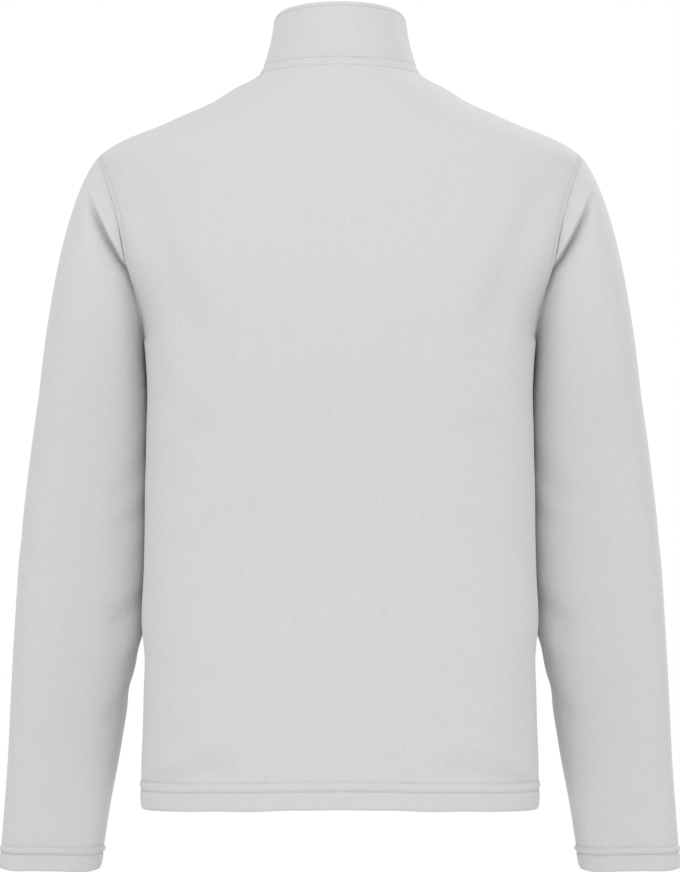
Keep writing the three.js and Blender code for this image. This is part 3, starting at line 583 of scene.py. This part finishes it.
def panel_half(side):
    """Outer and inner points and directions of half a panel, centre line first."""
    heights = np.concatenate([hem_rows(), np.arange(HEM["side"] + 43, -251, 5.0)])
    rows = panel_rows(side, heights, np.linspace(0, 1, 85))
    shares = panel_shares()
    if side["first"]:
        offset = side["first"] / SHOULDER_TIP[0]
        near_zip = offset + np.array([0, 1.2, 2.4, 3.6, 4.6, 5.4, 6.2, 7.2, 8.6]) / SHOULDER_TIP[0]
        shares = np.concatenate([near_zip, shares[shares > near_zip[-1] + 0.006]])
    grid = body_points(side, panel_x(side, shares, rows["edge"][:, 0]), rows)
    directions = outward(grid, False, body_middle)
    directions[:, 0, 0] = 0
    directions[:, 0] = unit(directions[:, 0])
    below = np.isnan(rows["turn"])
    directions[below, -1] = (1.0, 0.0, 0.0)
    directions[~below, -1] = at_seam(directions[~below, -1], rows["turn"][~below])
    seam_top = np.flatnonzero(~below)[0]
    directions[seam_top, -1, 1] = 0
    directions[seam_top, -1] = unit(directions[seam_top, -1])
    on_shoulder = shares * SHOULDER_TIP[0] >= NECK_HALF
    directions[-1, ~on_shoulder, 2] = 0
    along_seam = np.gradient(grid[-1, on_shoulder], axis=0)
    directions[-1, on_shoulder] = np.stack([-along_seam[:, 2], 0 * along_seam[:, 0], along_seam[:, 0]], -1)
    directions[-1] = unit(directions[-1])
    up = np.broadcast_to(rows["up"][:, None], grid.shape[:2])
    to_edge = along_rows(grid, True)
    to_top = along_columns(grid, True)
    height = turned_edge(up, HEM) - rolled(up) - rolled(to_edge, 0.35, 1.3) - rolled(to_top, 0.4, 1.5)
    above = (~below)[:, None]
    height = height - np.where(above, stitch_groove(to_edge, ARMHOLE_STITCH), 0)
    to_neck = distance_to(grid, neck_seam(np.linspace(0, 90, 90), side["end"], side["front"]))
    height = height - stitch_groove(to_neck, NECK_STITCH)
    if not side["front"]:
        seam_depth = mix(0.25, 1.3, 1 - smooth((up - 24) / 6)) * (1 - smooth((up - 60) / 70))
        inside = rows["edge"][:, :1] - grid[..., 0]
        height = height - stitch_groove(inside, SIDE_SEAM_SHOWN, seam_depth, 0.9)
    height = height + relief(grid, side["sign"]) * smooth((up - 26) / 12)
    lift = FLEECE - rolled(up)
    if side["first"]:
        from_zip = along_rows(grid, False)
        height = height - rolled(from_zip) - stitch_groove(from_zip, ZIP_STITCH, 0.35)
        lift = lift - rolled(from_zip, 0.4)
    outer = grid + directions * height[..., None]
    inner = grid - directions * lift[..., None]
    shift = side["sign"] * SEAM_SHOWN / 2
    for layer in (outer, inner):
        shoulder = on_shoulder & (layer[-1, :, 0] >= NECK_HALF - FLEECE)
        layer[-1, shoulder, 1] += shift
        edge = layer[:, -1, 2] < armhole(SIDE_SEAM_TURN)[2] + SEAM_SHOWN + FLEECE
        layer[edge, -1, 1] += shift
    return {"outer": outer, "inner": inner, "directions": directions, "shares": shares, "above": ~below,
            "up": up, "to_edge": to_edge, "to_neck": to_neck}


def whole(grid):
    return np.concatenate([mirrored(grid[:, :0:-1]), grid], 1)


def dress(piece, node, body=BODY_NAME):
    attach(piece, body)
    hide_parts(node)
    return piece


def cloth(name, node, slot, outer, inner, ring, material):
    return dress(make_mesh(name, *wall_arrays(outer, inner, ring), material), node)


stitch_lines = []


def add_stitches(points, out, closed=False, both=True, proud=0.12):
    """Keeps a line of stitches, and the same line on the other side of the garment."""
    if closed:
        points, out = np.concatenate([points, points[:1]]), np.concatenate([out, out[:1]])
    stitch_lines.append((points + out * proud, out))
    if both:
        stitch_lines.append((mirrored(points + out * proud), mirrored(out)))


def panel_stitches(half, front):
    row = int(np.argmin(np.abs(half["up"][:, 0] - HEM["groove"])))
    add_stitches(half["outer"][row], half["directions"][row])
    above = half["above"]
    on_armhole = (half[key][above] for key in ("outer", "directions", "to_edge"))
    add_stitches(*line_at(*on_armhole, ARMHOLE_STITCH))
    columns = half["shares"] * SHOULDER_TIP[0] <= NECK_HALF + 5
    rows = half["up"][:, 0] > 560
    flip = [np.swapaxes(half[key][rows][:, columns], 0, 1) for key in ("outer", "directions")]
    add_stitches(*line_at(*flip, half["to_neck"][rows][:, columns].T, NECK_STITCH))
    if front:
        from_zip = along_rows(half["outer"], False)
        add_stitches(*line_at(half["outer"], half["directions"], from_zip, ZIP_STITCH))


back_half = panel_half(BACK)
back_wall = [whole(back_half[key]) for key in ("outer", "inner")]
back = cloth("back_cloth", "back", "fleece", *back_wall, False, fleece)
panel_stitches(back_half, False)
front_half = panel_half(FRONT)
left_wall = [front_half[key] for key in ("outer", "inner")]
right_wall = [mirrored(grid) for grid in left_wall]
front_left = cloth("front_left_cloth", "front_left", "fleece", *left_wall, False, fleece)
front_right = cloth("front_right_cloth", "front_right", "fleece", *right_wall, False, fleece)
panel_stitches(front_half, True)


# Sleeves

# Soft folds on the sleeve: turn round the arm and height of both ends
SLEEVE_FOLDS = folds(
    ((182, -486), (124, -514), 13, 3.0),
    ((190, -522), (140, -540), 10, -1.4),
    ((172, -402), (118, -426), 12, 1.8),
    ((176, -350), (112, -396), 14, 1.6),
    ((184, -584), (138, -604), 12, 2.2),
    ((200, -466), (266, -512), 12, 4.2),
    ((204, -492), (254, -530), 9, -2.0),
    ((196, -540), (250, -566), 12, 3.0),
    ((214, -330), (268, -392), 15, 2.8),
    ((286, -420), (318, -452), 14, 1.6),
    ((20, -440), (64, -470), 18, 1.3),
    ((330, -560), (290, -596), 17, 1.8),
    ((210, -676), (262, -700), 12, 2.0),
    ((60, -690), (118, -716), 12, 1.3),
)
TURN_TO_MM = 0.9  # degrees round the arm as millimetres on the cloth


def flatter(share):
    """A sine or cosine bent so that the section is a little squarer than an ellipse."""
    return np.sign(share) * np.abs(share) ** (2 / SLEEVE_SQUARE)


def sleeve_section(turn, z):
    inner = read(SLEEVE, "z", "inner", z)
    outer = read(SLEEVE, "z", "outer", z)
    depth = read(SLEEVE, "z", "depth", z)
    x = (inner + outer) / 2 + (outer - inner) / 2 * flatter(np.cos(np.radians(turn)))
    y = read(SLEEVE, "z", "middle", z) + depth / 2 * flatter(np.sin(np.radians(turn)))
    return np.stack(np.broadcast_arrays(x, y, z), -1)


def sleeve_head(turn, t):
    """Lines of the sleeve head, from the armhole seam outwards and down to the first level section."""
    turn, t = np.broadcast_arrays(turn, t)
    top = np.full(turn.shape, SLEEVE_TOP)
    start = armhole(turn)
    end = sleeve_section(turn, top)
    slope = (end - sleeve_section(turn, top - 30)) / 30
    bend = end + slope * (0.8 * (start[..., 2] - end[..., 2]))[..., None]
    bend[..., 0] = mix(bend[..., 0], mix(start[..., 0], end[..., 0], 0.7), 0.7)
    bend[..., 0] += UNDERARM_PUSH * np.maximum(0, -np.cos(np.radians(turn)))
    t3 = t[..., None]
    return start * (1 - t3) ** 2 + bend * (2 * t3 * (1 - t3)) + end * t3 ** 2


def arm_middle(grid):
    share = clamp((SLEEVE_AXIS_TOP[2] - grid[..., 2]) / (SLEEVE_AXIS_TOP[2] - SLEEVE_AXIS_FOOT[2]))
    middle = mix(SLEEVE_AXIS_TOP, SLEEVE_AXIS_FOOT, share[..., None])
    middle[..., 2] = grid[..., 2]
    return middle


def sleeve_edge(turn):
    across = unit(np.cross(armhole_tangent(turn), seam_direction(turn)))
    across = np.where(across[..., :1] < 0, -across, across)
    return armhole(turn) + across * SEAM_SHOWN


def sleeve_folds(turn, z):
    """Depth of the folds at places on the sleeve."""
    depth = 0
    for fold in SLEEVE_FOLDS:
        ends = {key: (fold[key][0] * TURN_TO_MM, fold[key][1]) for key in ("from", "to")}
        depth = depth + fold["depth"] * fold_share({**fold, **ends}, turn * TURN_TO_MM, z)
    return depth


def cuff_wave(turns):
    """Slight unevenness of a sewn cuff."""
    return 0.8 * np.sin(np.radians(2 * turns + 40)) + 0.55 * np.sin(np.radians(5 * turns + 10))


CUFF_WAVE_FADE = 60.0
FOLDS_FROM_SEAM = 6.0
FOLDS_FADE = 30.0


def sleeve_grids():
    """Outer and inner points, directions and heights above the cuff, from the armhole down."""
    over_back = np.linspace(0, SIDE_SEAM_TURN, 113)[:-1]
    turns = np.concatenate([over_back, np.linspace(SIDE_SEAM_TURN, 360, 91)[:-1]])
    fan = np.concatenate([[0.008, 0.018, 0.03, 0.045, 0.06], np.linspace(0.072, 0.988, 100)])
    foot = SLEEVE["z"][0]
    cuff_ups = np.array([46, 40, 35, 31, 28, 26, 24.8, 23.9, 23, 22, 21, 19.5, 18, 17.2, 16.6, 16, 15.4,
                         14.8, 14, 12.5, 10.5, 8, 5.5, 3.5, 2, 1, 0.4, 0])
    levels = np.concatenate([np.arange(SLEEVE_TOP, foot + 50, -5.0), foot + cuff_ups])
    grid = np.concatenate([
        sleeve_edge(turns)[None],
        sleeve_head(turns[None, :], fan[:, None]),
        sleeve_section(turns[None, :], np.broadcast_to(levels[:, None], (len(levels), len(turns)))),
    ])
    from_seam = along_columns(grid, False)
    directions = outward(grid, True, arm_middle)
    directions[0] = at_seam(directions[0], turns)
    directions[1] = unit(directions[1] + directions[0])
    facing = np.sin(np.radians(turns))[None, :]
    facing = np.where(facing > 0, facing, CREASE["front_share"] * facing)
    depth = crease_depth(grid[..., 0], grid[..., 2])
    low = smooth((CREASE["tuck_from"] - grid[..., 2]) / CREASE["tuck_fade"])
    tuck = np.minimum(depth, CREASE["tuck"]) * low
    grid[..., 1] -= facing * mix(tuck, depth, smooth(from_seam / CREASE["seam_reach"]))
    near_seam = np.exp(-(from_seam / CREASE["under_reach"]) ** 2)
    grid[..., 0] -= CREASE["under"] * tuck / CREASE["tuck"] * near_seam * np.abs(facing)
    up = grid[..., 2] - foot
    grid[..., 2] += cuff_wave(turns)[None, :] * clamp(1 - up / CUFF_WAVE_FADE)
    sunk = sleeve_folds(np.broadcast_to(turns[None, :], up.shape), grid[..., 2])
    sunk = sunk * smooth((from_seam - FOLDS_FROM_SEAM) / FOLDS_FADE)
    grid = grid - directions * sunk[..., None]
    height = turned_edge(up, CUFF) - rolled(up) - rolled(from_seam, 0.35, 1.6)
    outer = grid + directions * height[..., None]
    inner = grid - directions * (FLEECE - rolled(up))[..., None]
    return outer, inner, directions, up


sleeve_outer, sleeve_inner, sleeve_out, sleeve_up = sleeve_grids()
left_wall = [sleeve_outer, sleeve_inner]
right_wall = [mirrored(grid) for grid in left_wall]
sleeve_left = cloth("sleeve_left_cloth", "sleeve_left", "fleece", *left_wall, True, fleece)
sleeve_right = cloth("sleeve_right_cloth", "sleeve_right", "fleece", *right_wall, True, fleece)
cuff_row = int(np.argmin(np.abs(sleeve_up[:, 0] - CUFF["groove"])))
add_stitches(sleeve_outer[cuff_row], sleeve_out[cuff_row], closed=True)


# Collar

def collar_points(turn, end, up, front):
    foot = neck_seam(turn, end, front)
    top = COLLAR_FRONT if front else COLLAR_BACK
    across, towards = np.cos(np.radians(turn)), np.sin(np.radians(turn))
    fall = towards ** (NECK_FRONT_FALL if front else COLLAR_BACK_RISE)
    rim = np.stack([COLLAR_HALF * across, mix(COLLAR_SIDE[0], top[0], towards),
                    mix(COLLAR_SIDE[1], top[1], fall)], -1)
    point = mix(foot, rim, up[..., None])
    point[..., 0] -= COLLAR_WAIST * across ** 3 * np.sin(math.pi * up)
    point[..., 2] += SEAM_SHOWN * (1 - up)
    return point


def turn_at(x, half):
    return np.degrees(np.arccos(clamp(x / half)))


def collar_grid(ups):
    lines = []
    for up in ups:
        first = float(turn_at(ZIP_EDGE, mix(NECK_HALF, COLLAR_HALF, up)))
        near_zip = first - np.array([0, 1, 2, 3, 4, 4.8, 5.6, 6.6])
        front_turns = np.concatenate([near_zip, np.linspace(first - 8.2, 0, 40)])
        back_turns = np.linspace(0, 90, 46)
        share = np.full(len(front_turns), up)
        front = collar_points(front_turns, NECK_FRONT, share, True)
        share = np.full(len(back_turns), up)
        line = np.concatenate([front, collar_points(back_turns, NECK_BACK, share, False)[1:]])
        run = along_rows(line[None], False)[0]
        near_side = up * np.exp(-((run - run[len(front) - 1]) / RIM_CALM_SPAN) ** 2)
        line[:, 2] = mix(line[:, 2], calmed(line[:, 2:], run, RIM_CALM_REACH)[:, 0], near_side)
        lines.append(line)
    half = np.array(lines)
    return np.concatenate([half, mirrored(half[:, -2::-1])], 1)


def collar_axis(grid):
    """Points inside the neck, a little below each point of the collar."""
    return np.stack([0 * grid[..., 0], 0 * grid[..., 1] - 8, grid[..., 2] - 10], -1)


def collar_piece():
    ups = np.concatenate([[0, 0.012, 0.025, 0.045, 0.07], np.linspace(0.1, 0.86, 24),
                          [0.88, 0.9, 0.915, 0.93, 0.945, 0.96, 0.972, 0.982, 0.99, 0.996, 1]])
    grid = collar_grid(ups)
    directions = outward(grid, False, collar_axis)
    for column in (0, -1):
        directions[:, column, 0] = 0
    directions[0, :, 2] = 0
    directions = unit(directions)
    to_top, from_foot = along_columns(grid, True), along_columns(grid, False)
    to_zip = np.minimum(along_rows(grid, False), along_rows(grid, True))
    rim = rolled(to_top, 1.1, 1.5)
    height = -rim - rolled(from_foot, 0.4, 1.5) - rolled(to_zip)
    height = height - stitch_groove(to_top, COLLAR_STITCH, 0.45, 1.3)
    height = height - stitch_groove(to_zip, ZIP_STITCH, 0.35)
    outer = grid + directions * height[..., None]
    inner = grid - directions * (COLLAR_CLOTH - rim - rolled(to_zip, 0.4))[..., None]
    piece = cloth("collar_cloth", "collar", "fleece_collar", outer, inner, False, collar_fleece)
    flip = [np.swapaxes(a, 0, 1) for a in (outer, directions)]
    add_stitches(*line_at(*flip, to_top.T, COLLAR_STITCH), both=False)
    half = outer.shape[1] // 2
    from_zip = along_rows(grid, False)[:, :half]
    add_stitches(*line_at(outer[:, :half], directions[:, :half], from_zip, ZIP_STITCH))
    return piece


collar = collar_piece()


# Zip

TAPE = {"thick": 1.0, "inner": 1.6, "outer": 17.0, "clear": 0.5}
CHAIN = {"half": 3.0, "thick": 2.2}
ZIP_BOX = {"half": 4.5, "high": 9.0, "proud": 0.8}
SLIDER = {"half": 4.5, "high": 9.0, "plate": 1.2, "post_half": 1.1, "post_high": 2.2}
BRIDGE = {"half": 1.0, "reach": 2.9, "tunnel": 2.4, "thick": 1.0}
PULL = {"half": 3.6, "long": 25.0, "thick": 1.2, "eye_half": 1.7, "eye": 4.4, "bar": 1.2, "hole": 2.0}
SLIDER_BELOW_TOP = 5.0
COIL = {"pitch": 1.5, "wire": 0.33, "middle": 1.22, "half": 1.42, "deep": 0.74, "turn_points": 10,
        "core": 0.58, "short_of_top": 0.6, "wire_sides": 6, "core_sides": 8}
TAPE_FACE = FLEECE + TAPE["clear"]
CHAIN_BACK = TAPE_FACE - SEAM_GAP
THICKENING = 8.0
THICKER = COLLAR_CLOTH - FLEECE


def collar_middle(share):
    return collar_points(np.array([90.0]), NECK_FRONT, np.array([share]), True)[0]


collar_rise = collar_middle(1) - collar_middle(0)
rise_length = float(np.linalg.norm(collar_rise))
slider_share = 1 - (SLIDER_BELOW_TOP + SLIDER["high"] / 2) / rise_length
slider_point = collar_middle(slider_share)
chain_top = collar_middle(slider_share + (SLIDER["high"] / 2 - SLIDER["post_high"] - SEAM_GAP) / rise_length)


def zip_line(x):
    """Line up the front at one distance from the centre: hem, neck seam, collar top."""
    at = np.array([max(abs(x), 0.01), ZIP_EDGE, 30.0, 60.0])
    heights = np.concatenate([HEM["side"] + np.array([0, 8.0]), np.arange(HEM["side"] + 16, -251, 8.0)])
    rows = panel_rows(FRONT, heights, np.linspace(0, 1, 61))
    on_front = body_points(FRONT, np.broadcast_to(at, (len(rows["z"]), len(at))), rows)[:, 0]
    ups = np.linspace(0, 1, 13)[1:]
    turns = turn_at(abs(x), mix(NECK_HALF, COLLAR_HALF, ups))
    points = np.concatenate([on_front, collar_points(turns, NECK_FRONT, ups, True)])
    points[:, 0] = x
    return points


def sunk_line(x, depth, low, high, step):
    """The line between two heights, some way behind the outer face, at even steps."""
    line = zip_line(x)
    run = np.concatenate([[0], np.cumsum(np.linalg.norm(np.diff(line[:, 1:], axis=0), axis=1))])
    first, last = (float(np.interp(z, line[:, 2], run)) for z in (low, high))
    at = np.linspace(first, last, max(2, int(round((last - first) / step)) + 1))
    points = np.stack([np.interp(at, run, line[:, axis]) for axis in range(3)], -1)
    along = unit(np.gradient(points, axis=0))
    out = np.stack([0 * at, -along[:, 2], along[:, 1]], -1)
    thicker = THICKER * clamp(1 + (points[:, 2] - NECK_FRONT[1]) / THICKENING)
    return points - out * (depth + thicker)[:, None], out, along


TAPE_LOW = HEM["middle"] + 1
TAPE_HIGH = COLLAR_FRONT[1] - 1


def tape_piece(hand, name, node):
    lines = []
    for x in np.concatenate([[TAPE["inner"], 2.6], np.linspace(4, TAPE["outer"] - 1.5, 9), [TAPE["outer"]]]):
        lines.append(sunk_line(x * hand, TAPE_FACE, TAPE_LOW, TAPE_HIGH, 4.0))
    rows = min(len(line[0]) for line in lines)
    face = np.stack([line[0][:rows] for line in lines], 1)
    out = np.stack([line[1][:rows] for line in lines], 1)
    return cloth(name, node, "zip_tape", face, face - out * TAPE["thick"], False, tape_cloth)


tape_left = tape_piece(1, "zip_tape_left_cloth", "zip_tape_left")
tape_right = tape_piece(-1, "zip_tape_right_cloth", "zip_tape_right")


def tube_faces(rings, sides):
    """Faces of a closed tube of rings, its ends capped."""
    faces = [[r * sides + c, r * sides + (c + 1) % sides, (r + 1) * sides + (c + 1) % sides,
              (r + 1) * sides + c] for r in range(rings - 1) for c in range(sides)]
    faces.append(list(range(sides))[::-1])
    faces.append([(rings - 1) * sides + c for c in range(sides)])
    return faces


def tube(path, radius, sides):
    """Points and faces of a closed tube along a path."""
    along = unit(np.gradient(path, axis=0))
    guide = np.array((0.31, 0.27, 0.91))
    first = unit(np.cross(along, guide))
    second = np.cross(along, first)
    turn = np.arange(sides) * 2 * math.pi / sides
    ring = first[:, None] * np.cos(turn)[None, :, None] + second[:, None] * np.sin(turn)[None, :, None]
    return (path[:, None] + ring * radius).reshape(-1, 3), tube_faces(len(path), sides)


def merged(parts):
    points, faces, base = [], [], 0
    for part_points, part_faces in parts:
        points.append(part_points)
        faces.extend([[i + base for i in face] for face in part_faces])
        base += len(part_points)
    return np.concatenate(points), faces


def coil(hand):
    """One side of the coil: a wire wound round a core, its loops meshed with the other side's."""
    depth = CHAIN_BACK - CHAIN["thick"] / 2
    low = TAPE_LOW + ZIP_BOX["high"] - COIL["pitch"] / 2
    step = COIL["pitch"] / COIL["turn_points"]
    high = float(chain_top[2]) - COIL["short_of_top"]
    line, out, _ = sunk_line(0.0, depth, low, high, step)
    turn = np.arange(len(line)) * 2 * math.pi / COIL["turn_points"] + (math.pi if hand < 0 else 0)
    across = hand * (COIL["middle"] + COIL["half"] * np.cos(turn))
    path = line + out * (COIL["deep"] * np.sin(turn))[:, None]
    path[:, 0] += across
    core = line[::COIL["turn_points"]].copy()
    core[:, 0] += hand * COIL["middle"]
    return [tube(path, COIL["wire"], COIL["wire_sides"]), tube(core, COIL["core"], COIL["core_sides"])]


dress(make_mesh("zip_coil", *merged(coil(1) + coil(-1)), nylon), "zip_chain")


BLOCK_FACES = [(0, 1, 3, 2), (4, 6, 7, 5), (0, 4, 5, 1), (2, 3, 7, 6), (0, 2, 6, 4), (1, 5, 7, 3)]


def bevelled(name, blocks, material, bevel, place, along):
    """Bevelled blocks in one mesh; each has its range across, out from the cloth and up along the zip."""
    parts = []
    for x0, x1, near, far, low, high in blocks:
        corners = [(x, -out, up) for x in (x0, x1) for out in (near, far) for up in (low, high)]
        parts.append((np.array(corners, float), BLOCK_FACES))
    points, faces = merged(parts)
    piece = make_mesh(name, points, faces, material, smooth_faces=False)
    set_on_zip(piece, place, along)
    modifier = piece.modifiers.new("edges", "BEVEL")
    modifier.width = bevel * MM
    modifier.segments = 3
    return piece


def set_on_zip(piece, place, along):
    piece.location = Vector(place * MM)
    piece.rotation_euler = (math.atan2(-along[1], along[2]), 0, 0)


PLATE_BACK = SEAM_GAP - (CHAIN_BACK - CHAIN["thick"] + THICKER)
PLATE_FRONT = PLATE_BACK + SLIDER["plate"]
BACK_PLATE_FRONT = -(TAPE_FACE + TAPE["thick"] + THICKER + SEAM_GAP)
BAR_OUT = PLATE_FRONT + BRIDGE["tunnel"] / 2


def slider_piece():
    half, wide = SLIDER["high"] / 2, SLIDER["half"]
    back_face = BACK_PLATE_FRONT - SLIDER["plate"]
    crown = PLATE_FRONT + BRIDGE["tunnel"]
    post, arm, reach, thick = SLIDER["post_half"], BRIDGE["half"], BRIDGE["reach"], BRIDGE["thick"]
    blocks = [
        (-wide, wide, PLATE_BACK, PLATE_FRONT, -half, half),
        (-wide, wide, back_face, BACK_PLATE_FRONT, -half, half),
        (-post, post, back_face + 0.2, PLATE_FRONT - 0.2, half - SLIDER["post_high"], half - 0.2),
        (-arm, arm, crown, crown + thick, -reach, reach),
        (-arm, arm, PLATE_FRONT - SEAM_GAP, crown + thick - 0.2, reach - thick, reach),
        (-arm, arm, PLATE_FRONT - SEAM_GAP, crown + thick - 0.2, -reach, -reach + thick),
    ]
    return bevelled("zip_slider_body", blocks, metal, 0.35, slider_point, collar_rise)


dress(slider_piece(), "zip_slider")

box_place = np.array((0.0, float(read(FRONT_PROFILE, "z", "y", TAPE_LOW)), TAPE_LOW))
box_block = (-ZIP_BOX["half"], ZIP_BOX["half"], -CHAIN_BACK, ZIP_BOX["proud"], 0, ZIP_BOX["high"])
zip_box = bevelled("zip_box_block", [box_block], nylon, 0.8, box_place, (0.0, 0.0, 1.0))
dress(zip_box, "zip_box")


def pull_piece():
    """Pull tab with an eye round the slider's bridge and a hole at its free end; its bar is the origin."""
    half, end, bar = PULL["half"], PULL["half"] - PULL["long"], PULL["bar"] / 2
    bevel = 0.25
    arc = np.radians(np.linspace(180, 360, 25))
    rim = [(-half + 1, bar), (-half + 0.3, bar - 0.3), (-half, bar - 1)]
    rim += [(half * math.cos(a), end + half * math.sin(a)) for a in arc]
    rim += [(half, bar - 1), (half - 0.3, bar - 0.3), (half - 1, bar)]
    wide, low = PULL["eye_half"], -PULL["eye"]
    eye = [(-wide, -bar), (wide, -bar), (wide, low), (-wide, low)]
    ring = np.radians(np.arange(0, 360, 15))
    hole = [(PULL["hole"] * math.cos(a), end + 1 + PULL["hole"] * math.sin(a)) for a in ring]
    curve = bpy.data.curves.new("pull outline", "CURVE")
    curve.dimensions = "2D"
    curve.fill_mode = "BOTH"
    curve.extrude = (PULL["thick"] / 2 - bevel) * MM
    curve.bevel_depth = bevel * MM
    curve.bevel_resolution = 3
    curve.offset = -bevel * MM
    for outline in (rim, eye, hole):
        spline = curve.splines.new("POLY")
        spline.points.add(len(outline) - 1)
        for point, (x, up) in zip(spline.points, outline):
            point.co = (x * MM, up * MM, 0, 1)
        spline.use_cyclic_u = True
    holder = add_object("pull outline", curve)
    bpy.context.view_layer.update()
    mesh = bpy.data.meshes.new_from_object(holder)
    bpy.data.objects.remove(holder)
    bpy.data.curves.remove(curve)
    for vertex in mesh.vertices:
        x, y, z = vertex.co
        vertex.co = (x, -z, y)
    mesh.materials.clear()
    mesh.materials.append(metal)
    piece = add_object("zip_pull_tab", mesh)
    tilt = math.atan2(-collar_rise[1], collar_rise[2])
    outward_way = np.array((0, -math.cos(tilt), -math.sin(tilt)))
    set_on_zip(piece, slider_point + outward_way * BAR_OUT, collar_rise)
    return piece


dress(pull_piece(), "zip_pull", PULL_BODY)


# Sewing

STITCH = {"long": 2.5, "gap": 0.55, "radius": 0.24, "sides": 6}


def stitch_parts(points, out):
    """Short rounded threads along a line, their ends sunk into the cloth."""
    run = np.concatenate([[0], np.cumsum(np.linalg.norm(np.diff(points, axis=0), axis=1))])
    pitch = STITCH["long"] + STITCH["gap"]
    starts = np.arange(pitch / 2, run[-1] - pitch, pitch)
    shares = np.array([0, 0.18, 0.5, 0.82, 1])
    sink = np.array([-0.34, -0.04, 0.1, -0.04, -0.34])
    width = np.array([0.5, 1, 1, 1, 0.5]) * STITCH["radius"]
    sides = STITCH["sides"]
    turn = np.arange(sides) * 2 * math.pi / sides
    faces = tube_faces(len(shares), sides)
    parts = []
    for start in starts:
        at = start + shares * STITCH["long"]
        middle = np.stack([np.interp(at, run, points[:, axis]) for axis in range(3)], -1)
        way = unit(np.stack([np.interp(at, run, out[:, axis]) for axis in range(3)], -1))
        along = unit(middle[-1] - middle[0])
        side = unit(np.cross(way, along))
        middle = middle + way * sink[:, None]
        ring = side[:, None] * np.cos(turn)[None, :, None] + way[:, None] * np.sin(turn)[None, :, None]
        shape = (middle[:, None] + ring * width[:, None, None]).reshape(-1, 3)
        parts.append((shape, faces))
    return parts


stitches = [part for line in stitch_lines for part in stitch_parts(*line)]
sewing = make_mesh("sewing_threads", *merged(stitches), thread)
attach(sewing, BODY_NAME)


# Stage, light and camera

def lamp(name, place, target, size, power):
    data = bpy.data.lights.new(name, "AREA")
    data.shape = "DISK"
    data.size = size
    data.energy = power
    light = add_object(name, data)
    light.location = place
    light.rotation_euler = (Vector(target) - Vector(place)).to_track_quat("-Z", "Y").to_euler()


world = bpy.data.worlds.new("white room")
bpy.context.scene.world = world
world.use_nodes = True
world.node_tree.nodes["Background"].inputs["Color"].default_value = (1, 1, 1, 1)
world.node_tree.nodes["Background"].inputs["Strength"].default_value = 1.0

FLOOR = {"radius": 1.9, "z": -1.45}
floor_mesh = bpy.data.meshes.new("floor")
turns = [math.radians(a) for a in range(0, 360, 6)]
ring = [(FLOOR["radius"] * math.cos(a), FLOOR["radius"] * math.sin(a), FLOOR["z"]) for a in turns]
floor_mesh.from_pydata(ring, [], [tuple(range(len(ring)))])
floor = add_object("floor", floor_mesh)
pale, _ = principled("pale floor", (0.8, 0.8, 0.8), 0.8)
floor_mesh.materials.append(pale)

lamp("upper_light", (0.2, 2.6, 1.7), (0, 0.05, -0.35), 1.6, 26)
lamp("front_light", (0, 3.4, -0.2), (0, 0.05, -0.4), 1.2, 16)
lamp("zip_side_light", (-2.0, -2.6, 1.5), (0, -0.1, -0.35), 0.7, 26)

CAMERA_AWAY = 4.0
PHOTO = {"middle_z": -0.341, "high": 0.8284}
camera_data = bpy.data.cameras.new("camera")
camera_data.sensor_fit = "VERTICAL"
camera_data.angle = 2 * math.atan(PHOTO["high"] / 2 / CAMERA_AWAY)
camera_data.dof.use_dof = False
camera = add_object("camera", camera_data)
camera.location = (0, CAMERA_AWAY, PHOTO["middle_z"])
camera.rotation_euler = (math.radians(90), 0, math.radians(180))
bpy.context.scene.camera = camera
bpy.context.scene.view_settings.view_transform = "Standard"
bpy.context.scene.view_settings.look = "None"
